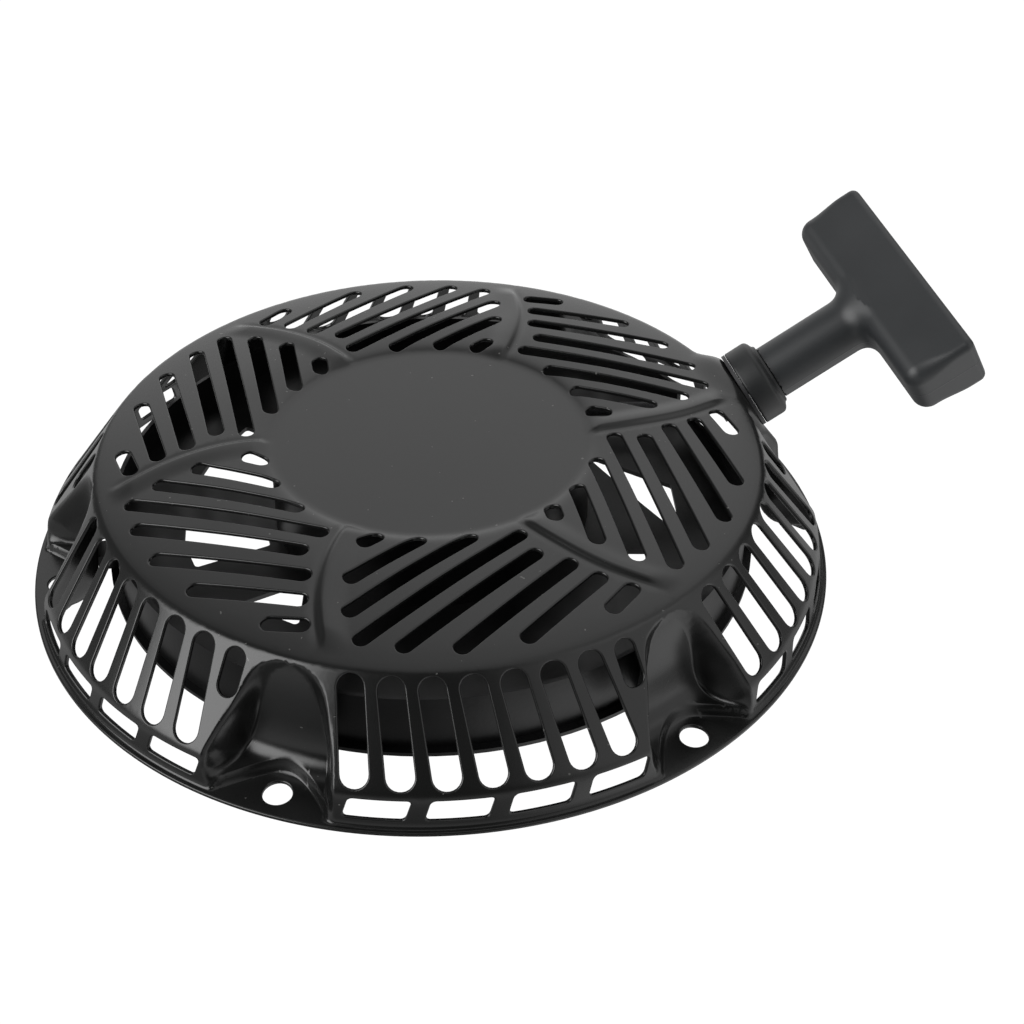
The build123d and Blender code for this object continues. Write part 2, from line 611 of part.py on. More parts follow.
def main():
    os.makedirs("parts", exist_ok=True)
    save(housing_shell(), "housing_shell")
    save(drum_housing(), "drum_housing")
    save(arm_frame(), "arm_frame")
    save(skirt_ring(), "skirt_ring")
    save(spring_cup(), "spring_cup")
    save(centre_post(), "centre_post")
    save(recoil_spring(), "recoil_spring")
    save(spring_anchor(), "spring_anchor")
    save(pulley(), "pulley")
    save(pulley_bush(), "pulley_bush")
    save(rope_coil(), "rope_coil")
    save(pulley_knot(), "pulley_knot")
    for name, side in (("1", 0), ("2", 180)):
        save(pawl_pin(side), f"pawl_pin_{name}")
        save(pawl(side), f"pawl_{name}")
        save(pawl_spring(side), f"pawl_spring_{name}")
    save(guide_plate(), "guide_plate")
    save(thrust_washer(), "thrust_washer")
    save(friction_sleeve(), "friction_sleeve")
    save(friction_spring(), "friction_spring")
    save(bolt_washer(), "bolt_washer")
    save(centre_bolt(), "centre_bolt")
    save(rope_guide(), "rope_guide")
    save(guide_clip(), "guide_clip")
    save(rope_inner(), "rope_inner")
    save(rope_outer(), "rope_outer")
    save(grip_collar(), "grip_collar")
    save(grip(), "grip")
    save(knot_washer(), "knot_washer")
    save(handle_knot(), "handle_knot")
    save(handle_plug(), "handle_plug")


main()
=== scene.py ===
import json
from math import acos, atan2, cos, hypot, pi, radians, sin, tan

import bpy
import numpy as np
from mathutils import Matrix, Vector
from mathutils.geometry import delaunay_2d_cdt


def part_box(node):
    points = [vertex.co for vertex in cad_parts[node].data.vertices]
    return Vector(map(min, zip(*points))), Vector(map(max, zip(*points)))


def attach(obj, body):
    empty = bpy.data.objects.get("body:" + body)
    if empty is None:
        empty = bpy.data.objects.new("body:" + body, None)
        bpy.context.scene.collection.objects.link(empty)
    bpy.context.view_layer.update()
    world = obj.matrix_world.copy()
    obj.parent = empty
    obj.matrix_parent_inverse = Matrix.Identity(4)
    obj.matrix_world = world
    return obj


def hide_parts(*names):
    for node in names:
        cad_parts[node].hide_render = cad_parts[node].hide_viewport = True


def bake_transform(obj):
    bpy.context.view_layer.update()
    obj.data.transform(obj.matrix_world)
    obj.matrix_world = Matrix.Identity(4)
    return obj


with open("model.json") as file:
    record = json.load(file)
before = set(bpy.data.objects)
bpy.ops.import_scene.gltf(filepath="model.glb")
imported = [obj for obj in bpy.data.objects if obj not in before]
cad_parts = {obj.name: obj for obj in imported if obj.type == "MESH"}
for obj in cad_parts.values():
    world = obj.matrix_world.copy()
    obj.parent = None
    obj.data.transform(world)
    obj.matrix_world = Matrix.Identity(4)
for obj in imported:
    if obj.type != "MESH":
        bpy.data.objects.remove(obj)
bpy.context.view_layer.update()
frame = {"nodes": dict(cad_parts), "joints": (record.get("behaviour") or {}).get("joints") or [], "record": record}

# Lengths in this script are in millimetres until a mesh is made.
MM = 0.001

# ---- camera ----
CAMERA_AT = (25.2, -438.1, 350.3)
CAMERA_DOWN = 37.61
CAMERA_ROLL = 0.23
CAMERA_LENS = 61.33

# ---- studio: soft lights as (direction, cosine at the edge, cosine at the core, strength) ----
STUDIO_LIGHTS = (
    ((0, 1, 0.45), 0.72, 0.97, 0.85),
    ((0, 1, 0.1), -0.45, 0.5, 0.15),
    ((0.3, 0.25, 1), 0.72, 0.97, 0.55),
    ((-0.78, -0.42, 0.46), 0.86, 0.95, 5.0),
    ((0.84, -0.34, 0.42), 0.68, 0.95, 0.85),
    ((0, 0, -1), -0.02, 0.2, 0.62),
    ((0, 0, -1), 0.25, 0.62, -0.47),
    ((0.63, -0.25, -0.74), 0.76, 0.94, 0.9),
)
BACKDROP = 1.05  # how bright the white behind the object is

# ---- housing: outer outline from the centre to the rim, and the same along an ear ----
SHEET = 1.5
RIM_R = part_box("housing_shell")[1].x / MM
WALL_OUTLINE = (
    (0, 41.5), (40, 41.5), (46.5, 41.5), (48.8, 41.55), (51.3, 42.45), (54.5, 42.8),
    (66, 42.8), (82, 41.2), (93, 39.8), (99.4, 38.7), (101.9, 38.1), (103.1, 36.72),
    (112, 24.63), (119.4, 14.57), (121.3, 12.0), (122.0, 9.8), (122.7, 5.0),
    (123.0, 2.4), (123.5, 1.5), (124.2, 1.5), (RIM_R, 1.5),
)
EAR_OUTLINE = (
    (97.4, 39.0), (100.3, 38.4), (101.7, 37.5), (102.9, 34.3), (104.0, 29.0), (104.9, 22.0),
    (105.7, 13.5), (107.2, 8.0), (109.8, 5.6), (113, 4.6), (118, 4.5), (RIM_R, 4.5),
)
EAR_START_R = 98.0
EAR_BLEND = 3.0  # an ear leaves the plain outline over this length
CREST_R = 95.0  # the wall starts outside this radius
EAR_AZIMUTH = 11.0
SECTORS = 6
STEP = 360 / SECTORS
PAD_DROP = 3.0
PAD_STEP_R = 109.3
PAD_STEP_BEND = 0.2
PAD_STEP_SOFT = 1.1
PAD_FALL = (RIM_R - 5, RIM_R - 1)  # radii over which a pad comes down to the flange
HOLE_AT_R = 116.85
HOLE_R = 4.1

# ---- an ear's pocket ----
# By height on the wall: degrees from the ear to each shoulder's middle, and half its width.
POCKET_HEIGHTS = (0, 4, 8, 13, 18, 23.5, 28, 31, 33, 34.5, 35.6, 36.5, 37.2, 37.9)
POCKET_BEFORE = (8.4, 8.4, 8.6, 8.4, 7.5, 6.4, 5.6, 5.1, 4.6, 4.0, 3.1, 1.9, 0.2, -3.2)
POCKET_AFTER = (8.0, 8.0, 7.8, 7.4, 7.0, 6.4, 5.8, 5.2, 4.6, 3.9, 3.0, 1.9, 0.2, -3.2)
POCKET_SOFT = (0.9, 1.0, 1.2, 1.35, 1.4, 1.35, 1.3, 1.3, 1.3, 1.3, 1.3, 1.3, 1.3, 1.3)

# ---- creases between the fan-shaped sectors: (radius, degrees from the ear) ----
CREASE_LINE = (
    (40, -7.0), (50, -7.0), (62, -5.2), (78, -1.6), (90, 2.2),
    (96, 4.0), (100, 3.6), (104, 3.4), (160, 3.4),
)
CREASE_HEIGHT = 0.95
CREASE_RISE = (-1.5, 0.9)  # foot and top of its steep side, measured across it
CREASE_FALL = (0.9, 8.5)  # top and foot of its long side
CREASE_DIP = (0.22, -1.9, 1.1)  # hollow before the steep side: share of the height, place and width
CREASE_STARTS = (47.5, 55)  # radii over which it grows
CREASE_ENDS = (90, 98.5)  # radii over which it dies away

# ---- openings ----
TOP_SLOT_WIDTH = 4.8
TOP_SLOTS = (
    ((-18.0, -54.4), (-11.7, -48.8)),
    ((-20.7, -69.6), (0.4, -50.4)),
    ((-20.1, -82.2), (14.9, -49.1)),
    ((-16.5, -92.4), (28.9, -47.9)),
    ((-4.9, -94.9), (33.2, -56.2)),
    ((10.6, -95.1), (42.9, -59.7)),
    ((28.4, -90.9), (51.0, -64.5)),
    ((51.7, -78.9), (59.7, -67.9)),
)
WALL_SLOTS = 7
WALL_SLOT_FIRST = 9.55
WALL_SLOT_STEP = 5.97
WALL_SLOT_LEAN = 1.6
WALL_SLOT_RADII = (3.65, 3.95)
WALL_SLOT_Z = (37.2, 12.6)
SHORT_SLOT_AT = 51.26
SHORT_SLOT_RADII = (3.1, 3.1)
SHORT_SLOT_Z = (36.9, 25.8)
BOSS_SLOTS = 3  # the rope exit takes the place of the first slots of its sector
WINDOWS = 4
WINDOW_FIRST = 14.15
WINDOW_STEP = 10.47
WINDOW_SIZE = (17.1, 6.2)
WINDOW_Z = 7.15
WINDOW_CORNER = 1.3
WINDOW_SKEW = 0.9
TOP_CAP_SIDES = 8
WALL_CAP_SIDES = 12
HOLE_SIDE = 12  # degrees of the screw hole that one side covers

# ---- meshing of the cover ----
EDGE_ROUND = 0.5
EDGE_BEND = 0.29 * EDGE_ROUND  # how far the middle of the rounding stands in from the corner
APRON = 0.95  # width of the neat band of faces round each opening
OUTLINE_STEP = 1.5
SURFACE_STEP = 1.5
FILL_GAP = 0.62 * SURFACE_STEP  # filling points closer than this to another are left out
HUB_R = 44.0  # the plain middle is meshed in rings
HUB_RINGS = 8
HUB_TIP = 0.01  # the middle point stands this far out, so that it has an azimuth
FEATURE_STEP = 1.1  # spacing along the extra rows of points that follow each form line
CREASE_ROWS = (-2.7, -1.9, -1.2, -0.5, 0.35, 1.2, 2.1)
SHOULDER_ROWS = (-3.4, -2.6, -1.9, -1.25, -0.6, 0.0, 0.6, 1.25, 1.9, 2.6, 3.4)
PAD_ROWS = (-2.3, -1.7, -1.1, -0.55, 0.0, 0.55, 1.1, 1.7, 2.3)
BAND_ROWS = (9.5, 4.0, 3.3, 2.7, 2.2, 1.85, 1.62)  # heights of the rows round the band
FLANGE_ROWS = (123.6, 124.0)  # radii of the rows round the flange
ROW_GAP = 0.3
# First, last and number of samples: degrees, radii, heights and degrees.
ROUND_SPAN = (0.5, STEP - 0.5, 90)
CREASE_SPAN = (52, 97, 60)
SHOULDER_SPAN = (2.0, 36.9, 80)
PAD_SPAN = (-8.6, 8.6, 60)
THINNEST = 0.01  # triangles with less area than this in the unrolled plane are left out
POINT_GAP = 1e-6  # points closer than this in the unrolled plane are one
JOIN_PER_MM = 500  # points that round to the same cell of this fine a grid are joined

# ---- handle, on the pull axis ----
PULL = Vector(next(j for j in frame["joints"] if j["name"] == "handle_pull")["axis"]).normalized()
PULL_FOOT = Vector((105.6, 45.5, 32.3))
GRIP_ROLL = 13.7
STEM_R = 9.2
STEM_LENGTH = 38.7
STEM_NECK = (6.4, -3.7, 7.0)  # radius and ends of the neck inside the collar
STEM_FLARE = 5.5  # blend between the stem and the bar
BAR = (23.8, 79.8, 21.6)  # along the pull axis, along the grip, across the grip
BAR_EDGES = (5.2, 2.6)  # rounding on the stem side and on the far side
BAR_EDGE_CHANGE = (0.25, 0.75)  # shares of the bar's depth over which one becomes the other
STEM_LAP = (1.2, 1.0)  # how far the stem reaches over the neck and into the bar
ROPE_BORE_R = 3.0
KNOT_POCKET = (7.2, 15.0)  # radius and depth
GRIP_CELL = 0.75
GRIP_MARGIN = 1.3  # room for the cells round the grip
GRIP_ACROSS = 40.0  # width over which the grip's "across" attribute runs from 0 to 1
FIELD_STEP = 0.04  # half the distance that slopes of the grip's field are taken over
FLATTEST = 0.25  # smallest squared slope that a point is moved by
COLLAR_OUTLINE = (
    (6.45, -3.92), (12.8, -3.92), (13.15, -3.8), (13.3, -3.4), (13.3, 2.7), (13.1, 3.5),
    (12.5, 4.1), (11.6, 4.6), (10.9, 4.8), (10.6, 5.1), (10.45, 5.5), (10.0, 5.78), (6.45, 5.78),
)

# ---- rope ----
ROPE_R = 2.15
GUIDE_TAIL = -15.0  # inner end of the eyelet, where the rope bends
ROPE_LINE_R = 41.7
ROPE_BEND_R = 9.0
ROPE_COIL_R = 39.2
GROOVE_Z = 22.4
GROOVE_CORE_R = 26.0
WOUND_TURNS = 2.2
WOUND_ROWS = 48  # rings of points in a turn
WOUND_PLAY = (0.15, 0.05)  # at the groove's core and at the outer layer
ROPE_END = 1.0  # how far the rope reaches into the knot's pocket
LEAD_ROWS = 40  # rings of points from the pulley to the eyelet
BEND_ROWS = 6
STEM_ROWS = 60
BRAID_SCALE = 0.45

# ---- swelling of the wall under the rope exit ----
BOSS_SEAT = -5.2  # distance along the pull axis of the seat that the wall swells out to
BOSS_SEAT_R = 13.0
BOSS_SOFT = 2.5
BOSS_REACH = 18.5
BOSS_STRETCH = 1.15  # the swelling is this much wider than high
BOSS_STARTS = (93, 100.5)  # radii over which it grows
BOSS_DEPTH = -40  # nothing swells further than this behind the collar


# ======== small tools ========

def smooth_step(low, high, value):
    """0 below low, 1 above high, smooth between."""
    t = np.clip((value - low) / (high - low), 0, 1)
    return t * t * (3 - 2 * t)


def smooth_line(points, steps=14):
    """Points along the smooth curve that a control polygon guides."""
    p = np.array(points, float)
    middles = (p[:-1] + p[1:]) / 2
    t = np.linspace(0, 1, steps, endpoint=False)[:, None]
    pieces = [p[:1]]
    for a, b, c in zip(middles[:-1], p[1:-1], middles[1:]):
        pieces.append((1 - t) ** 2 * a + 2 * t * (1 - t) * b + t * t * c)
    pieces += [middles[-1:], p[-1:]]
    return np.concatenate(pieces)


def lengths(line):
    """Distance along a line of points, from its start."""
    return np.concatenate([[0], np.cumsum(np.linalg.norm(np.diff(line, axis=0), axis=1))])


def ring_quads(rings, count, closed=False):
    """Quads between one ring of points and the next; closed joins the last ring to the first."""
    first = np.arange(count)
    second = np.roll(first, -1)
    quads = []
    for ring in range(rings if closed else rings - 1):
        near, far = ring * count, (ring + 1) % rings * count
        quads.append(np.stack([near + first, near + second, far + second, far + first], 1))
    return np.concatenate(quads)


def mesh_object(name, points, faces, material, normals=None):
    """A smooth-shaded mesh from points in millimetres."""
    mesh = bpy.data.meshes.new(name)
    mesh.from_pydata((np.asarray(points) * MM).tolist(), [], faces)
    mesh.update()
    mesh.polygons.foreach_set("use_smooth", np.ones(len(mesh.polygons), bool))
    if normals is not None:
        mesh.normals_split_custom_set_from_vertices(normals.tolist())
    mesh.materials.append(material)
    piece = bpy.data.objects.new(name, mesh)
    bpy.context.scene.collection.objects.link(piece)
    return piece


# ======== materials ========

def new_material(name):
    """A node material, its node tree and its shader."""
    material = bpy.data.materials.new(name)
    material.use_nodes = True
    tree = material.node_tree
    return material, tree, tree.nodes["Principled BSDF"]


def noise(tree, scale, detail):
    """Noise in the object's own space."""
    place = tree.nodes.new("ShaderNodeTexCoord")
    texture = tree.nodes.new("ShaderNodeTexNoise")
    texture.inputs["Scale"].default_value = scale
    texture.inputs["Detail"].default_value = detail
    tree.links.new(place.outputs["Object"], texture.inputs["Vector"])
    return texture.outputs["Fac"]


def ramp(tree, factor, stops):
    """Colour ramp from (position, colour) stops."""
    band = tree.nodes.new("ShaderNodeValToRGB")
    while len(band.color_ramp.elements) < len(stops):
        band.color_ramp.elements.new(0.5)
    for element, (position, colour) in zip(band.color_ramp.elements, stops):
        element.position = position
        element.color = colour if len(colour) == 4 else (*colour, 1)
    tree.links.new(factor, band.inputs["Fac"])
    return band.outputs["Color"]


def grey(value):
    """A neutral colour."""
    return (value, value, value, 1)


def bump(tree, shader, height, strength, distance):
    """Surface relief on a shader."""
    relief = tree.nodes.new("ShaderNodeBump")
    relief.inputs["Strength"].default_value = strength
    relief.inputs["Distance"].default_value = distance
    tree.links.new(height, relief.inputs["Height"])
    tree.links.new(relief.outputs["Normal"], shader.inputs["Normal"])


def mottled(name, cloud, tones, roughness, grain, metallic=0.0, specular=0.5):
    """A material with soft clouds in its colour and roughness, and a fine grain."""
    material, tree, shader = new_material(name)
    shader.inputs["Metallic"].default_value = metallic
    shader.inputs["Specular IOR Level"].default_value = specular
    field = noise(tree, *cloud)
    tree.links.new(ramp(tree, field, tones), shader.inputs["Base Color"])
    stops = [(place, grey(value)) for place, value in roughness]
    tree.links.new(ramp(tree, field, stops), shader.inputs["Roughness"])
    scale, detail, strength, distance = grain
    bump(tree, shader, noise(tree, scale, detail), strength, distance)
    return material


def satin_paint():
    """Satin black paint: soft clouds in its gloss, slight orange peel and a few dust specks."""
    material, tree, shader = new_material("satin_black_paint")
    cloud = noise(tree, 22, 4)
    specks = ((0.0, grey(0)), (0.85, grey(0)), (0.865, grey(1)), (1.0, grey(1)))
    dust = ramp(tree, noise(tree, 700, 0), specks)
    tone = ramp(tree, cloud, ((0.3, (0.0072, 0.0074, 0.0073)), (0.7, (0.0098, 0.0100, 0.0098))))
    mix = tree.nodes.new("ShaderNodeMix")
    mix.data_type = "RGBA"
    tree.links.new(dust, mix.inputs["Factor"])
    tree.links.new(tone, mix.inputs["A"])
    mix.inputs["B"].default_value = (0.08, 0.08, 0.077, 1)
    tree.links.new(mix.outputs["Result"], shader.inputs["Base Color"])
    gloss = ramp(tree, cloud, ((0.25, grey(0.21)), (0.75, grey(0.27))))
    tree.links.new(gloss, shader.inputs["Roughness"])
    bump(tree, shader, noise(tree, 500, 2), 0.04, 0.0003)
    return material


def dull_coating_with_painted_shade():
    """Thin black coating of the inner pressings, a little duller than the cover; its colour is darker than the
    cover's paint as painted shade inside the housing.
    """
    # painted shade: these black tones sit below the cover's paint to stand for the dim light inside the housing
    tones = ((0.3, (0.0030, 0.0030, 0.0031)), (0.72, (0.0060, 0.0060, 0.0062)))
    roughness = ((0.2, 0.26), (0.8, 0.40))
    return mottled("dull_black_coating_painted_shade", (60, 5), tones, roughness,
                   (900, 2, 0.08, 0.0003), specular=0.42)


def grip_plastic():
    """Satin moulded plastic, slightly blue and finely grained, with the mould's parting line."""
    material, tree, shader = new_material("moulded_grip_plastic")
    cloud = noise(tree, 35, 4)
    tone = ramp(tree, cloud, ((0.3, (0.0225, 0.0243, 0.0258)), (0.7, (0.0270, 0.0290, 0.0306))))
    tree.links.new(tone, shader.inputs["Base Color"])
    gloss = ramp(tree, cloud, ((0.25, grey(0.40)), (0.75, grey(0.48))))
    tree.links.new(gloss, shader.inputs["Roughness"])
    across = tree.nodes.new("ShaderNodeAttribute")
    across.attribute_name = "across"
    parting = ramp(tree, across.outputs["Fac"], (
        (0.0, grey(0.4)), (0.492, grey(0.4)), (0.5, grey(0.75)),
        (0.508, grey(0.5)), (1.0, grey(0.5))))
    grain = tree.nodes.new("ShaderNodeMath")
    grain.operation = "MULTIPLY_ADD"
    tree.links.new(noise(tree, 1800, 3), grain.inputs[0])
    grain.inputs[1].default_value = 0.05
    tree.links.new(parting, grain.inputs[2])
    bump(tree, shader, grain.outputs["Value"], 0.35, 0.0006)
    return material


def collar_rubber():
    """Black rubber of the buffer, smooth with a slight bloom."""
    tones = ((0.3, (0.0105, 0.0115, 0.0120)), (0.75, (0.0165, 0.0175, 0.0180)))
    roughness = ((0.2, 0.38), (0.8, 0.55))
    return mottled("collar_rubber", (90, 5), tones, roughness, (1200, 3, 0.10, 0.0002))


def plated_steel():
    """Zinc plated steel with faint passivation colour."""
    tones = ((0.3, (0.36, 0.36, 0.34)), (0.7, (0.52, 0.50, 0.45)))
    roughness = ((0.2, 0.28), (0.8, 0.48))
    return mottled("zinc_plated_steel", (55, 6), tones, roughness,
                   (600, 3, 0.10, 0.0002), metallic=1.0)


def spring_steel():
    """Oiled blue-grey spring steel."""
    tones = ((0.3, (0.10, 0.11, 0.13)), (0.7, (0.20, 0.19, 0.18)))
    roughness = ((0.2, 0.22), (0.8, 0.40))
    return mottled("oiled_spring_steel", (80, 5), tones, roughness,
                   (800, 3, 0.08, 0.0002), metallic=1.0)


def pulley_nylon():
    """Glass-filled black nylon, slightly mottled."""
    tones = ((0.35, (0.014, 0.014, 0.015)), (0.7, (0.028, 0.028, 0.030)))
    roughness = ((0.2, 0.42), (0.8, 0.60))
    return mottled("glass_filled_nylon", (140, 6), tones, roughness, (900, 3, 0.15, 0.0002))


def bush_bronze():
    """Oil-soaked sintered bronze."""
    tones = ((0.35, (0.22, 0.13, 0.06)), (0.65, (0.42, 0.27, 0.13)))
    roughness = ((0.2, 0.35), (0.8, 0.55))
    return mottled("sintered_bronze", (500, 4), tones, roughness,
                   (500, 4, 0.25, 0.0002), metallic=1.0)


def rope_braid():
    """Dark braided polyester with paler flecks.

    Two waves that cross on the rope's grid make the plaits."""
    material, tree, shader = new_material("rope_braid")
    grid = tree.nodes.new("ShaderNodeTexCoord")
    heights = []
    for turn in (45, -45):
        place = tree.nodes.new("ShaderNodeMapping")
        place.inputs["Rotation"].default_value = (0, 0, radians(turn))
        tree.links.new(grid.outputs["UV"], place.inputs["Vector"])
        wave = tree.nodes.new("ShaderNodeTexWave")
        wave.inputs["Scale"].default_value = BRAID_SCALE
        tree.links.new(place.outputs["Vector"], wave.inputs["Vector"])
        heights.append(wave.outputs["Fac"])
    plait = tree.nodes.new("ShaderNodeMath")
    plait.operation = "MAXIMUM"
    tree.links.new(heights[0], plait.inputs[0])
    tree.links.new(heights[1], plait.inputs[1])
    cloud = noise(tree, 1500, 3)
    tones = ((0.35, (0.018, 0.018, 0.020)), (0.62, (0.04, 0.04, 0.043)), (0.8, (0.16, 0.16, 0.16)))
    tree.links.new(ramp(tree, cloud, tones), shader.inputs["Base Color"])
    gloss = ramp(tree, cloud, ((0.3, grey(0.68)), (0.7, grey(0.85))))
    tree.links.new(gloss, shader.inputs["Roughness"])
    shader.inputs["Sheen Weight"].default_value = 0.25
    bump(tree, shader, plait.outputs["Value"], 0.6, 0.0004)
    return material


MATERIALS = {
    "housing_paint": satin_paint(), "inner_steel": dull_coating_with_painted_shade(), "grip_plastic": grip_plastic(),
    "collar_rubber": collar_rubber(), "zinc_steel": plated_steel(), "spring_steel": spring_steel(),
    "pulley_nylon": pulley_nylon(), "bush_bronze": bush_bronze(), "rope_braid": rope_braid(),
}


# ======== housing surface ========

wall_line = smooth_line(WALL_OUTLINE)
wall_s = lengths(wall_line)
ear_line = smooth_line(EAR_OUTLINE)
ear_s = lengths(ear_line)
EAR_START = float(np.interp(EAR_START_R, wall_line[:, 0], wall_s))
EDGE_S = float(wall_s[-1])
crease_line = smooth_line(CREASE_LINE)


def wall_at(s):
    """(radius, height) of the plain outline."""
    return np.interp(s, wall_s, wall_line[:, 0]), np.interp(s, wall_s, wall_line[:, 1])


def ear_share(s):
    """How far along the ear's own outline a point of the plain outline lies."""
    start = np.interp(EAR_START_R, ear_line[:, 0], ear_s)
    return start + (s - EAR_START) / (EDGE_S - EAR_START) * (ear_s[-1] - start)


def s_on_top(radius):
    """Distance along the plain outline at a radius."""
    return np.interp(radius, wall_line[:, 0], wall_s)


def s_on_wall(height):
    """Distance along the plain outline at a height, on the wall."""
    from_crest = wall_s > s_on_top(CREST_R)
    return np.interp(-height, -wall_line[from_crest, 1], wall_s[from_crest])


def s_on_pad(radius):
    """Distance along the plain outline where an ear's pad has that radius."""
    along = np.interp(radius, ear_line[:, 0], ear_s)
    start = np.interp(EAR_START_R, ear_line[:, 0], ear_s)
    return EAR_START + (along - start) / (ear_s[-1] - start) * (EDGE_S - EAR_START)


def from_ear(theta):
    """Degrees from the nearest ear, between -30 and 30."""
    return (theta - EAR_AZIMUTH + STEP / 2) % STEP - STEP / 2


def pocket_weight(height, off):
    """1 inside an ear's pocket, 0 on the plain wall, by height and by degrees off the ear."""
    before = np.interp(height, POCKET_HEIGHTS, POCKET_BEFORE)
    after = np.interp(height, POCKET_HEIGHTS, POCKET_AFTER)
    half = np.where(off < 0, before, after)
    soft = np.interp(height, POCKET_HEIGHTS, POCKET_SOFT)
    return 1 - smooth_step(half - soft, half + soft, np.abs(off))


def crease_height(radius, theta):
    """Height of the creases: a quick rise, then a long fall into the next sector."""
    line = np.interp(radius, crease_line[:, 0], crease_line[:, 1])
    off = (theta - EAR_AZIMUTH - line + STEP / 2) % STEP - STEP / 2
    across = np.radians(off) * radius
    rise = smooth_step(*CREASE_RISE, across) - smooth_step(*CREASE_FALL, across)
    depth, at, width = CREASE_DIP
    dip = depth * np.exp(-((across - at) / width) ** 2)
    reach = smooth_step(*CREASE_STARTS, radius) * (1 - smooth_step(*CREASE_ENDS, radius))
    return CREASE_HEIGHT * (rise - dip) * reach


def swell(points):
    """Lifts the wall out to the seat of the rope exit."""
    axis = np.array(PULL)
    sideways = np.array(Vector((0, 0, 1)).cross(PULL).normalized())
    upwards = np.cross(axis, sideways)
    offset = points - np.array(PULL_FOOT)
    along = offset @ axis
    distance = np.hypot(offset @ sideways / BOSS_STRETCH, offset @ upwards)
    weight = 1 - smooth_step(BOSS_SEAT_R - BOSS_SOFT, BOSS_REACH, distance)
    radius = np.hypot(points[:, 0], points[:, 1])
    weight = weight * smooth_step(*BOSS_STARTS, radius) * (along > BOSS_DEPTH)
    lift = np.clip(BOSS_SEAT - along, 0, None)
    return points + np.outer(weight * lift, axis)


def surface(s, theta):
    """Outer skin of the housing at a distance along the outline and an azimuth in degrees."""
    radius, height = wall_at(s)
    off = from_ear(theta)
    weight = pocket_weight(height, off) * smooth_step(EAR_START, EAR_START + EAR_BLEND, s)
    along = ear_share(s)
    ear_r = np.interp(along, ear_s, ear_line[:, 0])
    ear_z = np.interp(along, ear_s, ear_line[:, 1])
    step_r = PAD_STEP_R + PAD_STEP_BEND * off ** 2
    ear_z = ear_z - PAD_DROP * smooth_step(step_r - PAD_STEP_SOFT, step_r + PAD_STEP_SOFT, ear_r)
    ear_z = ear_z - (ear_z - SHEET) * smooth_step(*PAD_FALL, ear_r)
    radius_mix = radius + weight * (ear_r - radius)
    height_mix = height + weight * (ear_z - height) + crease_height(radius, theta)
    angle = np.radians(theta)
    points = np.stack([radius_mix * np.cos(angle), radius_mix * np.sin(angle), height_mix], 1)
    return swell(points)


def surface_normal(s, theta):
    """Outward normal of the skin."""
    step = 0.12
    turn = np.degrees(step / np.maximum(s, 1.0))
    along = surface(s + step, theta) - surface(s - step, theta)
    across = surface(s, theta + turn) - surface(s, theta - turn)
    normal = np.cross(along, across)
    return normal / np.linalg.norm(normal, axis=1)[:, None]


# ======== housing openings ========
# Each opening is a function of an offset: it gives the outline, grown by that, as (s, theta).

def stadium(start, end, radius_start, radius_end, cap_sides):
    """Closed outline round two circles, as points and in order."""
    start, end = np.array(start, float), np.array(end, float)
    way = atan2(*(end - start)[::-1])
    length = np.linalg.norm(end - start)
    sides = max(2, int(length / OUTLINE_STEP))
    far = way + np.linspace(-pi / 2, pi / 2, cap_sides + 1)
    near = way + np.linspace(pi / 2, 3 * pi / 2, cap_sides + 1)
    cap_far = end + radius_end * np.stack([np.cos(far), np.sin(far)], 1)
    cap_near = start + radius_start * np.stack([np.cos(near), np.sin(near)], 1)
    t = np.linspace(0, 1, sides, endpoint=False)[1:, None]
    back = cap_far[-1] + (cap_near[0] - cap_far[-1]) * t
    forth = cap_near[-1] + (cap_far[0] - cap_near[-1]) * t
    return np.concatenate([cap_far, back, cap_near, forth])


def top_opening(start, end, ear):
    """Slot in the slotted ring; the ends are given for the sector that follows the fifth ear."""
    half = TOP_SLOT_WIDTH / 2
    turn = ear - (EAR_AZIMUTH - 2 * STEP)
    start, end = np.array(start), np.array(end)
    inset = (end - start) / np.linalg.norm(end - start) * half

    def outline(grow):
        points = stadium(start + inset, end - inset, half + grow, half + grow, TOP_CAP_SIDES)
        theta = np.degrees(np.arctan2(points[:, 1], points[:, 0])) + turn
        return s_on_top(np.hypot(points[:, 0], points[:, 1])), theta

    return outline


def wall_opening(top_azimuth, foot_azimuth, radii, top_z, foot_z):
    """Slot in the conical wall, laid out on the wall's own surface."""

    def outline(grow):
        s_top = float(s_on_wall(top_z)) + radii[0]
        s_foot = float(s_on_wall(foot_z)) - radii[1]
        middle = (top_azimuth + foot_azimuth) / 2
        r_top, r_foot = wall_at(s_top)[0], wall_at(s_foot)[0]
        top = (s_top, radians(top_azimuth - middle) * r_top)
        foot = (s_foot, radians(foot_azimuth - middle) * r_foot)
        points = stadium(top, foot, radii[0] + grow, radii[1] + grow, WALL_CAP_SIDES)
        return points[:, 0], middle + np.degrees(points[:, 1] / wall_at(points[:, 0])[0])

    return outline


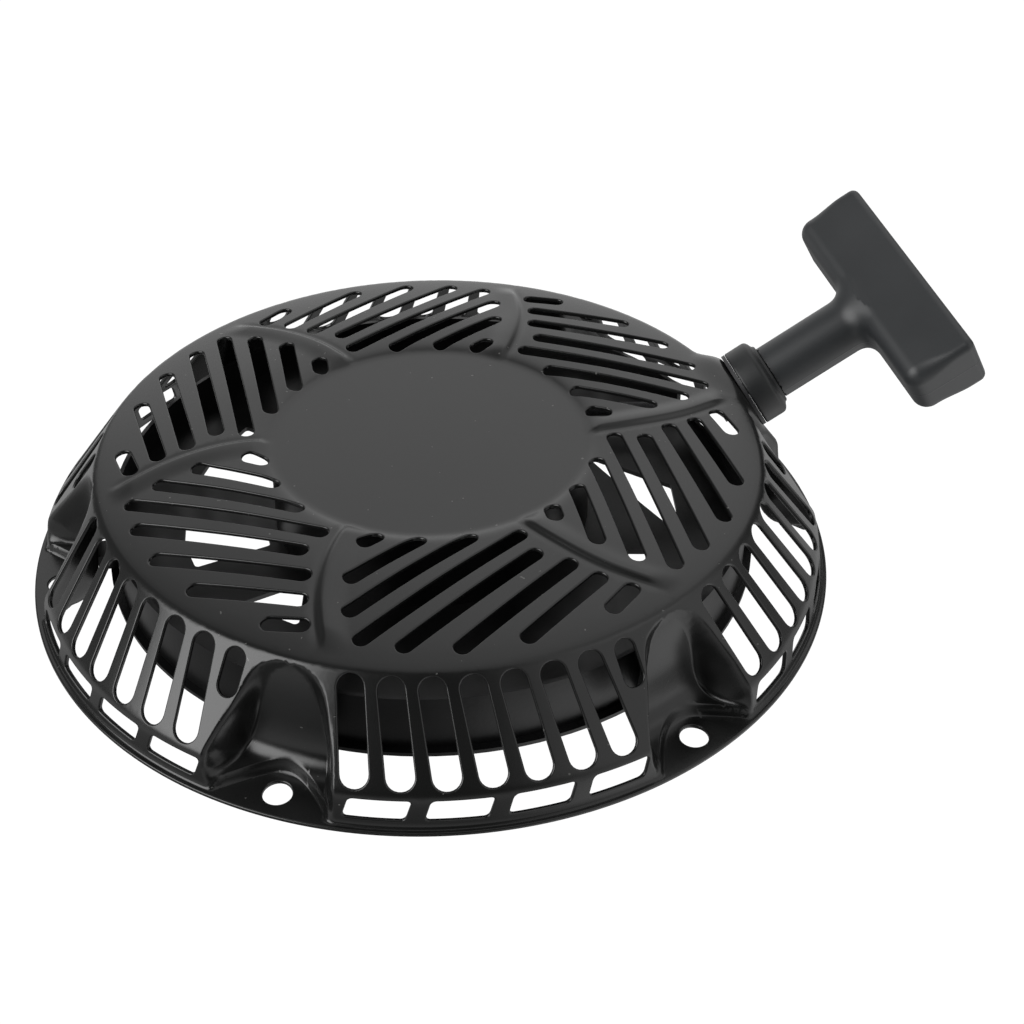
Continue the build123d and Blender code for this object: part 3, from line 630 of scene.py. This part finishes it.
def window_opening(azimuth):
    """Rounded, slightly skewed window in the band under the wall slots."""

    def outline(grow):
        half_x, half_y = WINDOW_SIZE[0] / 2, WINDOW_SIZE[1] / 2
        points = []
        for turn, (x, y) in zip((0, 90, 180, 270), ((1, 1), (-1, 1), (-1, -1), (1, -1))):
            centre = np.array([x * (half_x - WINDOW_CORNER), y * (half_y - WINDOW_CORNER)])
            arc = np.radians(turn + np.linspace(0, 90, 5))
            points.append(centre + (WINDOW_CORNER + grow) * np.stack([np.cos(arc), np.sin(arc)], 1))
            if turn in (0, 180):
                ends = np.linspace(y, -y, 9)[1:-1] * (half_x - WINDOW_CORNER)
                points.append(np.stack([ends, np.full(len(ends), y * (half_y + grow))], 1))
        points = np.concatenate(points)
        s = float(s_on_wall(WINDOW_Z)) - points[:, 1]
        skew = WINDOW_SKEW * points[:, 1] / WINDOW_SIZE[1]
        return s, azimuth + np.degrees(points[:, 0] / wall_at(s)[0]) + skew

    return outline


def hole_opening(ear):
    """Screw hole in an ear's pad."""

    def outline(grow):
        arc = np.radians(np.arange(0, 360, HOLE_SIDE))
        x = HOLE_AT_R + (HOLE_R + grow) * np.cos(arc)
        y = (HOLE_R + grow) * np.sin(arc)
        return s_on_pad(np.hypot(x, y)), ear + np.degrees(np.arctan2(y, x))

    return outline


def openings(ear, with_boss):
    """All the openings of the sector that follows an ear. The rope exit takes the place of some."""
    found = [top_opening(*slot, ear) for slot in TOP_SLOTS]
    for count in range(BOSS_SLOTS if with_boss else 0, WALL_SLOTS):
        azimuth = ear + WALL_SLOT_FIRST + count * WALL_SLOT_STEP
        found.append(wall_opening(azimuth, azimuth + WALL_SLOT_LEAN, WALL_SLOT_RADII, *WALL_SLOT_Z))
    short = ear + SHORT_SLOT_AT
    found.append(wall_opening(short, short, SHORT_SLOT_RADII, *SHORT_SLOT_Z))
    found += [window_opening(ear + WINDOW_FIRST + count * WINDOW_STEP) for count in range(WINDOWS)]
    found.append(hole_opening(ear + STEP))
    return found


# ======== housing mesh ========

HUB_S = float(s_on_top(HUB_R))
RIM_S = EDGE_S - APRON

# Loops from face side to inner side: growth of the outline, depth in the sheet, roll of the normal.
EDGE_LOOPS = (
    (APRON, 0.0, 0), (EDGE_ROUND, 0.0, 0), (EDGE_BEND, EDGE_BEND, 45), (0.0, EDGE_ROUND, 90),
    (0.0, SHEET - EDGE_ROUND, 90), (EDGE_ROUND, SHEET, 180), (APRON, SHEET, 180),
)
HOLLOW_LOOP = 3  # the first loop that stands on the opening's own outline


def flat(s, theta):
    """The unrolled plane that the sheet is meshed in."""
    angle = np.radians(theta)
    return np.stack([s * np.cos(angle), s * np.sin(angle)], 1)


def columns(s):
    """How many faces a sector has side by side at a distance along the outline."""
    return int(radians(STEP) * s / SURFACE_STEP)


def border(ear, s_values):
    """Azimuths of the line between one sector and the next."""
    radius = wall_at(s_values)[0]
    return ear + np.interp(radius, crease_line[:, 0], crease_line[:, 1])


def form_rows(ear):
    """Rows of points along the crease, the pockets' shoulders, the pads' steps and the foot.

    Gives s, theta and the row's number for each point."""
    found_s, found_theta, found_row = [], [], []

    def add(s_line, theta_line, offsets):
        line = flat(s_line, theta_line)
        along = lengths(line)
        even = np.linspace(0, along[-1], int(along[-1] / FEATURE_STEP))
        line = np.stack([np.interp(even, along, line[:, k]) for k in range(2)], 1)
        way = np.gradient(line, axis=0)
        way /= np.linalg.norm(way, axis=1)[:, None]
        for offset in offsets:
            row = line + offset * np.stack([-way[:, 1], way[:, 0]], 1)
            found_s.append(np.hypot(row[:, 0], row[:, 1]))
            theta = np.degrees(np.arctan2(row[:, 1], row[:, 0]))
            found_theta.append(theta_line[0] + (theta - theta_line[0] + 180) % 360 - 180)
            found_row.append(np.full(len(row), len(found_row)))

    around = ear + CREASE_LINE[-1][1] + np.linspace(*ROUND_SPAN)
    for s in [*s_on_wall(np.array(BAND_ROWS)), *s_on_top(np.array(FLANGE_ROWS))]:
        add(np.full(len(around), s), around, (0,))
    radius = np.linspace(*CREASE_SPAN)
    height = np.linspace(*SHOULDER_SPAN)
    off = np.linspace(*PAD_SPAN)
    for azimuth in (ear, ear + STEP):
        add(s_on_top(radius), border(azimuth, s_on_top(radius)), CREASE_ROWS)
        for way, table in ((-1, POCKET_BEFORE), (1, POCKET_AFTER)):
            half = np.interp(height, POCKET_HEIGHTS, table)
            add(s_on_wall(height), azimuth + way * half, SHOULDER_ROWS)
        add(s_on_pad(PAD_STEP_R + PAD_STEP_BEND * off ** 2), azimuth + off, PAD_ROWS)
    return np.concatenate(found_s), np.concatenate(found_theta), np.concatenate(found_row)


def spread(points, fixed, gap):
    """Which points keep a gap to the fixed ones, with the earlier ones kept first."""
    keep = np.zeros(len(points), bool)
    cells = {}

    def near(x, y, point):
        for i in (x - 1, x, x + 1):
            for j in (y - 1, y, y + 1):
                for other in cells.get((i, j), ()):
                    if (other[0] - point[0]) ** 2 + (other[1] - point[1]) ** 2 < gap * gap:
                        return True
        return False

    for point in fixed.tolist():
        cells.setdefault((int(point[0] // gap), int(point[1] // gap)), []).append(point)
    for number, point in enumerate(points.tolist()):
        x, y = int(point[0] // gap), int(point[1] // gap)
        if not near(x, y, point):
            keep[number] = True
            cells.setdefault((x, y), []).append(point)
    return keep


def inside(points, polygon):
    """Which points lie in a polygon."""
    x, y = points[:, 0], points[:, 1]
    found = np.zeros(len(points), bool)
    for a, b in zip(polygon, np.roll(polygon, -1, axis=0)):
        if a[1] == b[1]:
            continue
        crosses = (a[1] > y) != (b[1] > y)
        found ^= crosses & (x < (b[0] - a[0]) * (y - a[1]) / (b[1] - a[1]) + a[0])
    return found


def on_sheet(points, plane, loops):
    """Which points lie in the sector, outlined by the first loop, and in none of its openings."""
    found = inside(points, plane[loops[0]])
    for loop in loops[1:]:
        found &= ~inside(points, plane[loop])
    return found


def sector_outline(s_rows, left):
    """Outline of a sector as (s, theta): along the plain middle, out, along the rim and in."""
    hub_count, rim_count = columns(s_rows[0]), columns(s_rows[-1])
    hub_theta = left[0] + np.linspace(0, STEP, hub_count + 1)
    rim_theta = left[-1] + np.linspace(0, STEP, rim_count + 1)
    hub_line = np.full(hub_count + 1, s_rows[0])
    rim_line = np.full(rim_count - 1, s_rows[-1])
    s = np.concatenate([hub_line, s_rows[1:], rim_line, s_rows[:0:-1]])
    theta = np.concatenate([hub_theta, left[1:] + STEP, rim_theta[-2:0:-1], left[:0:-1]])
    return s, theta


def filling(s_rows, left):
    """Staggered rows of points in a sector, as s and theta."""
    s_all, theta_all = [], []
    for number, s in enumerate(s_rows[1:-1]):
        count = columns(s)
        stagger = 0.75 if number % 2 else 0.25
        s_all.append(np.full(count, s))
        theta_all.append(left[number + 1] + (np.arange(count) + stagger) * STEP / count)
    return np.concatenate(s_all), np.concatenate(theta_all)


def triangulated(ear, plane, edges, loops):
    """The sheet's triangles in the unrolled plane: s and theta of the points, and the triangles."""
    result = delaunay_2d_cdt([Vector(p) for p in plane.tolist()], edges, [], 0, POINT_GAP)
    plane = np.array([tuple(p) for p in result[0]])
    s = np.hypot(plane[:, 0], plane[:, 1])
    theta = np.degrees(np.arctan2(plane[:, 1], plane[:, 0]))
    theta = ear + (theta - ear + 180 - STEP / 2) % 360 - 180 + STEP / 2
    triangles = np.array(result[2])
    triangles = triangles[on_sheet(plane[triangles].mean(1), plane, loops)]
    a, b, c = (plane[triangles[:, k]] for k in range(3))
    area = ((b - a)[:, 0] * (c - a)[:, 1] - (b - a)[:, 1] * (c - a)[:, 0]) / 2
    triangles[area < 0] = triangles[area < 0][:, ::-1]
    return s, theta, triangles[np.abs(area) > THINNEST]


def sector_sheet(ear, outlines):
    """One sector outside its openings: s and theta of the points, and the triangles."""
    s_rows = np.linspace(HUB_S, RIM_S, int((RIM_S - HUB_S) / SURFACE_STEP) + 1)
    left = border(ear, s_rows)
    lines = [sector_outline(s_rows, left)] + [outline(APRON) for outline in outlines]
    fixed = np.concatenate([flat(s, theta) for s, theta in lines])
    ends = np.cumsum([0] + [len(s) for s, theta in lines])
    loops = [np.arange(first, last) for first, last in zip(ends, ends[1:])]
    row_s, row_theta, row_number = form_rows(ear)
    rows = flat(row_s, row_theta)
    fill = flat(*filling(s_rows, left))
    keep_rows = spread(rows, fixed, ROW_GAP)
    keep_fill = spread(fill, np.concatenate([fixed, rows[keep_rows]]), FILL_GAP)
    loose = np.concatenate([rows, fill])
    keep = np.concatenate([keep_rows, keep_fill]) & on_sheet(loose, fixed, loops)
    place = (len(fixed) + np.cumsum(keep) - 1).tolist()
    edges = []
    for loop in loops:
        edges += list(zip(loop.tolist(), np.roll(loop, -1).tolist()))
    for a in range(len(rows) - 1):
        if keep[a] and keep[a + 1] and row_number[a] == row_number[a + 1]:
            edges.append((place[a], place[a + 1]))
    return triangulated(ear, np.concatenate([fixed, loose[keep]]), edges, loops)


class Skin:
    """Collects the housing's points, normals and faces."""

    def __init__(self):
        self.points, self.normals, self.faces, self.count = [], [], [], 0

    def add(self, points, normals, *faces):
        self.points.append(points)
        self.normals.append(normals)
        for group in faces:
            self.faces += (group + self.count).tolist()
        self.count += len(points)


def add_sheet(skin, s, theta, triangles):
    """The face side and the inner side of a patch."""
    outer = surface(s, theta)
    normal = surface_normal(s, theta)
    skin.add(outer, normal, triangles)
    skin.add(outer - normal * SHEET, -normal, triangles[:, ::-1])


def add_edge(skin, outline, outward=False):
    """The rounded edge along one opening, or along the rim."""
    rings = []
    for grow, depth, roll in EDGE_LOOPS:
        s, theta = outline(grow)
        normal = surface_normal(s, theta)
        rings.append((surface(s, theta) - normal * depth, normal, roll))
    count = len(rings[0][0])
    hollow = rings[HOLLOW_LOOP][0] - rings[0][0]
    points, normals = [], []
    for place, normal, roll in rings:
        way = hollow - (hollow * normal).sum(1)[:, None] * normal
        way /= np.linalg.norm(way, axis=1)[:, None]
        points.append(place)
        normals.append(normal * cos(radians(roll)) + way * sin(radians(roll)))
    quads = ring_quads(len(EDGE_LOOPS), count)
    skin.add(np.concatenate(points), np.concatenate(normals), quads[:, ::-1] if outward else quads)


def rim_outline(count):
    """The rim as an outline that grows inwards."""
    def outline(grow):
        theta = EAR_AZIMUTH + CREASE_LINE[-1][1] + np.arange(count) * 360 / count
        return np.full(count, EDGE_S - grow), theta

    return outline


def hub_patch(skin, count):
    """The plain middle, as rings of quads round one point."""
    rings = np.linspace(0, HUB_S, HUB_RINGS + 1)[1:]
    theta0 = border(EAR_AZIMUTH, np.array([HUB_S]))[0] + np.arange(count) * 360 / count
    s = np.concatenate([[HUB_TIP]] + [np.full(count, ring) for ring in rings])
    theta = np.concatenate([[0.0]] + [theta0] * HUB_RINGS)
    points = surface(s, theta)
    normals = np.tile((0.0, 0.0, 1.0), (len(s), 1))
    quads = 1 + ring_quads(HUB_RINGS, count)[:, ::-1]
    first = np.arange(count) + 1
    fan = np.stack([np.zeros(count, int), first, np.roll(first, -1)], 1)
    skin.add(points, normals, quads, fan)
    skin.add(points - (0, 0, SHEET), -normals, quads[:, ::-1], fan[:, ::-1])


def joined(skin):
    """The points, normals and faces of the skin, with points that lie on each other made one."""
    points = np.concatenate(skin.points)
    normals = np.concatenate(skin.normals)
    keys = np.round(points * JOIN_PER_MM).astype(np.int64)
    _, first, back = np.unique(keys, axis=0, return_index=True, return_inverse=True)
    back = back.reshape(-1)
    faces = []
    for face in skin.faces:
        corners = list(dict.fromkeys(back[face].tolist()))
        if len(corners) > 2:
            faces.append(corners)
    return points[first], normals[first], faces


def housing():
    """The whole pressed cover as one mesh with rolled edges round every opening."""
    skin = Skin()
    plain = sector_sheet(EAR_AZIMUTH, openings(EAR_AZIMUTH, False))
    boss = sector_sheet(EAR_AZIMUTH, openings(EAR_AZIMUTH, True))
    for count in range(SECTORS):
        s, theta, triangles = boss if count == 0 else plain
        add_sheet(skin, s, theta + count * STEP, triangles)
        for outline in openings(EAR_AZIMUTH + count * STEP, count == 0):
            add_edge(skin, outline)
    hub_patch(skin, SECTORS * columns(HUB_S))
    add_edge(skin, rim_outline(SECTORS * columns(RIM_S)), outward=True)
    points, normals, faces = joined(skin)
    piece = mesh_object("housing_cover", points, faces, MATERIALS["housing_paint"], normals)
    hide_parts("housing_shell")
    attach(piece, "housing")
    return piece


# ======== handle ========

def pull_axes():
    """Rows: along the bar, across it, along the pull."""
    sideways = Vector((0, 0, 1)).cross(PULL).normalized()
    upwards = PULL.cross(sideways)
    bar_way = sideways * cos(radians(GRIP_ROLL)) + upwards * sin(radians(GRIP_ROLL))
    return np.array([bar_way, PULL.cross(bar_way), PULL])


def grip_field(points):
    """How far points are outside the grip, roughly in millimetres; below 0 inside."""
    x, y, z = points.T
    depth = (z - STEM_LENGTH) / BAR[0]
    edge = BAR_EDGES[0] + (BAR_EDGES[1] - BAR_EDGES[0]) * smooth_step(*BAR_EDGE_CHANGE, depth)
    half = np.array([BAR[1], BAR[2], BAR[0]]) / 2
    gap = np.abs(np.stack([x, y, z - STEM_LENGTH - half[2]], 1)) - half + edge[:, None]
    bar = np.linalg.norm(np.maximum(gap, 0), axis=1) + np.minimum(gap.max(1), 0) - edge
    around = np.hypot(x, y)
    low, high = STEM_NECK[2] - STEM_LAP[0], STEM_LENGTH + STEM_LAP[1]
    stem = np.maximum(around - STEM_R, np.maximum(low - z, z - high))
    share = np.maximum(STEM_FLARE - np.abs(bar - stem), 0) / STEM_FLARE
    body = np.minimum(bar, stem) - share ** 2 * STEM_FLARE / 4
    neck = np.maximum(around - STEM_NECK[0], np.maximum(STEM_NECK[1] - z, z - STEM_NECK[2]))
    body = np.minimum(body, neck)
    pocket_foot = STEM_LENGTH + BAR[0] - KNOT_POCKET[1]
    body = np.maximum(body, ROPE_BORE_R - around)
    return np.maximum(body, np.minimum(KNOT_POCKET[0] - around, z - pocket_foot))


def at_corner(grid, corner):
    """The grid's values at one corner of every cell."""
    return grid[tuple(slice(c, size - 1 + c) for c, size in zip(corner, grid.shape))]


def cell_points(value):
    """Which cells the surface crosses, and a point in each of them, counted in cells."""
    corners = [(i, j, k) for i in (0, 1) for j in (0, 1) for k in (0, 1)]
    mixed = sum(at_corner(value < 0, corner).astype(int) for corner in corners) % len(corners) != 0
    at = np.argwhere(mixed)
    total, crossings = np.zeros((len(at), 3)), np.zeros(len(at))
    for a in corners:
        for k in range(3):
            if a[k]:
                continue
            b = tuple(c + (n == k) for n, c in enumerate(a))
            start, end = at_corner(value, a)[mixed], at_corner(value, b)[mixed]
            crosses = (start < 0) != (end < 0)
            spot = np.tile(np.array(a, float), (len(at), 1))
            spot[:, k] += start / np.where(crosses, start - end, 1)
            total += spot * crosses[:, None]
            crossings += crosses
    return mixed, at + total / crossings[:, None]


def cell_faces(solid, mixed):
    """Quads between the points of the four cells round each crossed edge of the grid."""
    number = np.full(mixed.shape, -1)
    number[mixed] = np.arange(mixed.sum())
    faces = []
    for k in range(3):
        u, v = (k + 1) % 3, (k + 2) % 3
        ahead = np.roll(solid, -1, axis=k)
        for way in (False, True):
            edges = np.argwhere((solid != ahead) & (solid == way))
            edges = edges[(edges[:, u] > 0) & (edges[:, v] > 0)]
            edges = edges[edges[:, k] < solid.shape[k] - 1]
            ring = []
            for du, dv in ((-1, -1), (0, -1), (0, 0), (-1, 0)):
                cell = edges.copy()
                cell[:, u] += du
                cell[:, v] += dv
                ring.append(number[tuple(cell.T)])
            quads = np.stack(ring, 1)
            faces.append(quads if way else quads[:, ::-1])
    return np.concatenate(faces)


def settled(field, points, cell):
    """The points moved onto the surface where the field is 0, and the outward normals there."""

    def slope(spots):
        steps = np.eye(3) * FIELD_STEP
        rises = [field(spots + step) - field(spots - step) for step in steps]
        return np.stack(rises, 1) / (2 * FIELD_STEP)

    for _ in range(3):
        way = slope(points)
        size = np.maximum((way ** 2).sum(1), FLATTEST)
        points = points - np.clip(field(points) / size, -cell / 2, cell / 2)[:, None] * way
    normals = slope(points)
    return points, normals / np.maximum(np.linalg.norm(normals, axis=1), 1e-6)[:, None]


def net_surface(field, low, high, cell):
    """Smooth quads where a field changes sign: points, outward normals and faces."""
    counts = np.ceil((np.array(high) - low) / cell).astype(int) + 1
    axes = [low[k] + np.arange(counts[k]) * cell for k in range(3)]
    grid = np.stack(np.meshgrid(*axes, indexing="ij"), -1)
    value = field(grid.reshape(-1, 3)).reshape(counts)
    mixed, places = cell_points(value)
    points, normals = settled(field, np.array(low) + places * cell, cell)
    return points, normals, cell_faces(value < 0, mixed)


def handle_grip():
    """The T-shaped grip with soft edges, a flared stem and the bore for its rope."""
    half_long, half_across = BAR[1] / 2 + GRIP_MARGIN, BAR[2] / 2 + GRIP_MARGIN
    low = (-half_long, -half_across, STEM_NECK[1] - GRIP_MARGIN)
    high = (half_long, half_across, STEM_LENGTH + BAR[0] + GRIP_MARGIN)
    points, normals, faces = net_surface(grip_field, low, high, GRIP_CELL)
    axes = pull_axes()
    placed = np.array(PULL_FOOT) + points @ axes
    material = MATERIALS["grip_plastic"]
    piece = mesh_object("handle_grip", placed, faces.tolist(), material, normals @ axes)
    across = piece.data.attributes.new("across", "FLOAT", "POINT")
    across.data.foreach_set("value", (points[:, 1] / GRIP_ACROSS + 0.5).astype(np.float32))
    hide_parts("grip")
    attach(piece, "handle")
    return piece


def turned(name, outline, material, count=96):
    """A ring turned round the pull axis from a closed outline of (radius, distance along)."""
    outline = np.array(outline)
    angle = np.arange(count) * 2 * pi / count
    radius, along = outline[:, :1], np.tile(outline[:, 1:], count)
    points = np.stack([radius * np.cos(angle), radius * np.sin(angle), along], 2)
    points = np.array(PULL_FOOT) + points.reshape(-1, 3) @ pull_axes()
    faces = ring_quads(len(outline), count, closed=True)
    return mesh_object(name, points, faces.tolist(), material)


def rounded_corners(outline, step=0.28):
    """The outline with extra points near each corner, so that smooth shading keeps faces flat."""
    points = np.array(outline, float)
    found = []
    for before, point, after in zip(np.roll(points, 1, 0), points, np.roll(points, -1, 0)):
        for other in (before, after):
            reach = np.linalg.norm(other - point)
            if reach > 2.5 * step:
                found.append(point + (other - point) / reach * step)
            elif other is before:
                found.append(point)
    return found


def handle_collar():
    """Rubber buffer at the foot of the stem, with its lip, broad band and stepped shoulder."""
    piece = turned("handle_collar", rounded_corners(COLLAR_OUTLINE), MATERIALS["collar_rubber"])
    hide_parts("grip_collar")
    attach(piece, "handle")
    return piece


# ======== rope ========

def rope_line():
    """Centre line of the rope from the pulley's rim to the knot in the grip."""
    corner = PULL_FOOT + PULL * GUIDE_TAIL
    reach = hypot(corner.x, corner.y)
    leave = atan2(corner.y, corner.x) + acos(ROPE_LINE_R / reach)
    start = Vector((ROPE_LINE_R * cos(leave), ROPE_LINE_R * sin(leave), GROOVE_Z))
    way = (corner - start).normalized()
    turn = way.angle(PULL)
    trim = ROPE_BEND_R * tan(turn / 2)
    first, last = corner - way * trim, corner + PULL * trim
    centre = first + (PULL - way * PULL.dot(way)).normalized() * ROPE_BEND_R
    end = PULL_FOOT + PULL * (STEM_LENGTH + BAR[0] - KNOT_POCKET[1] + ROPE_END)
    line = [start.lerp(first, row / LEAD_ROWS) for row in range(LEAD_ROWS + 1)]
    for row in range(1, BEND_ROWS + 1):
        spoke = Matrix.Rotation(turn * row / (BEND_ROWS + 1), 3, way.cross(PULL)) @ (first - centre)
        line.append(centre + spoke)
    return line + [last.lerp(end, row / STEM_ROWS) for row in range(STEM_ROWS + 1)]


def tube(name, line, radius, material, sides=20):
    """Round tube along a line, with a grid on it that counts millimetres."""
    points = np.array([tuple(p) for p in line])
    way = np.gradient(points, axis=0)
    way /= np.linalg.norm(way, axis=1)[:, None]
    side = np.cross(way[0], (0.0, 0.0, 1.0))
    rings = []
    for place, tangent in zip(points, way):
        side = side - tangent * side.dot(tangent)
        side /= np.linalg.norm(side)
        other = np.cross(tangent, side)
        angle = np.arange(sides) * 2 * pi / sides
        spokes = np.outer(np.cos(angle), side) + np.outer(np.sin(angle), other)
        rings.append(place + radius * spokes)
    last = (len(points) - 1) * sides
    faces = ring_quads(len(points), sides).tolist()
    faces += [list(range(sides))[::-1], list(range(last, last + sides))]
    piece = mesh_object(name, np.concatenate(rings), faces, material)
    grid = piece.data.uv_layers.new(name="grid")
    along = lengths(points)
    around = 2 * pi * radius / sides
    for polygon in piece.data.polygons:
        corners = [piece.data.loops[loop].vertex_index for loop in polygon.loop_indices]
        steps = [corner % sides for corner in corners]
        wraps = 0 in steps and sides - 1 in steps
        for loop, corner, step in zip(polygon.loop_indices, corners, steps):
            step = sides if wraps and step == 0 else step
            grid.data[loop].uv = (step * around, along[corner // sides])
    return piece


def pull_rope():
    """The rope from the pulley through the eyelet and the stem, drawn out with the handle."""
    piece = tube("pull_rope", rope_line(), ROPE_R, MATERIALS["rope_braid"])
    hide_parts("rope_inner", "rope_outer")
    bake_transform(piece)
    return piece


def wound_rope():
    """The rope's layers on the pulley: one coil inside the next."""
    first = GROOVE_CORE_R + ROPE_R + WOUND_PLAY[0]
    last = ROPE_COIL_R - ROPE_R - WOUND_PLAY[1]
    rows = WOUND_TURNS * WOUND_ROWS
    line = []
    for row in range(int(rows) + 1):
        angle = 2 * pi * row / WOUND_ROWS
        radius = first + (last - first) * row / rows
        line.append((radius * cos(angle), radius * sin(angle), GROOVE_Z))
    piece = tube("wound_rope", line, ROPE_R, MATERIALS["rope_braid"], sides=14)
    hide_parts("rope_coil")
    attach(piece, "pulley")
    return piece


# ======== CAD parts ========

def dress_cad_nodes():
    """The material of its slot on each CAD part."""
    slots = {part["node"]: part["material_slot"] for part in frame["record"]["subparts"]}
    for node, piece in frame["nodes"].items():
        piece.data.materials.clear()
        piece.data.materials.append(MATERIALS[slots[node]])


# ======== studio ========

def studio():
    """White backdrop, and soft lights all round that only the object sees."""
    world = bpy.data.worlds.new("studio")
    bpy.context.scene.world = world
    world.use_nodes = True
    nodes, links = world.node_tree.nodes, world.node_tree.links
    background = nodes["Background"]
    place = nodes.new("ShaderNodeTexCoord")
    total = None
    for way, edge, core, strength in STUDIO_LIGHTS:
        dot = nodes.new("ShaderNodeVectorMath")
        dot.operation = "DOT_PRODUCT"
        links.new(place.outputs["Generated"], dot.inputs[0])
        dot.inputs[1].default_value = Vector(way).normalized()
        lobe = nodes.new("ShaderNodeMapRange")
        lobe.interpolation_type = "SMOOTHSTEP"
        lobe.inputs["From Min"].default_value = edge
        lobe.inputs["From Max"].default_value = core
        lobe.inputs["To Max"].default_value = strength
        links.new(dot.outputs["Value"], lobe.inputs["Value"])
        if total is None:
            total = lobe.outputs["Result"]
            continue
        add = nodes.new("ShaderNodeMath")
        links.new(total, add.inputs[0])
        links.new(lobe.outputs["Result"], add.inputs[1])
        total = add.outputs["Value"]
    path = nodes.new("ShaderNodeLightPath")
    pick = nodes.new("ShaderNodeMix")
    links.new(path.outputs["Is Camera Ray"], pick.inputs["Factor"])
    links.new(total, pick.inputs["A"])
    pick.inputs["B"].default_value = BACKDROP
    links.new(pick.outputs["Result"], background.inputs["Strength"])
    background.inputs["Color"].default_value = (1, 1, 1, 1)


def camera():
    """The camera, at the height and tilt that the object is looked at from."""
    data = bpy.data.cameras.new("camera")
    data.lens = CAMERA_LENS
    data.sensor_width = 36.0
    eye = bpy.data.objects.new("camera", data)
    tilt = Matrix.Rotation(radians(90 - CAMERA_DOWN), 4, "X")
    roll = Matrix.Rotation(radians(CAMERA_ROLL), 4, "Z")
    eye.matrix_world = Matrix.Translation(Vector(CAMERA_AT) * MM) @ tilt @ roll
    bpy.context.scene.collection.objects.link(eye)
    bpy.context.scene.camera = eye
    bpy.context.scene.view_settings.view_transform = "Standard"


camera()
studio()
dress_cad_nodes()
housing()
handle_grip()
handle_collar()
pull_rope()
wound_rope()
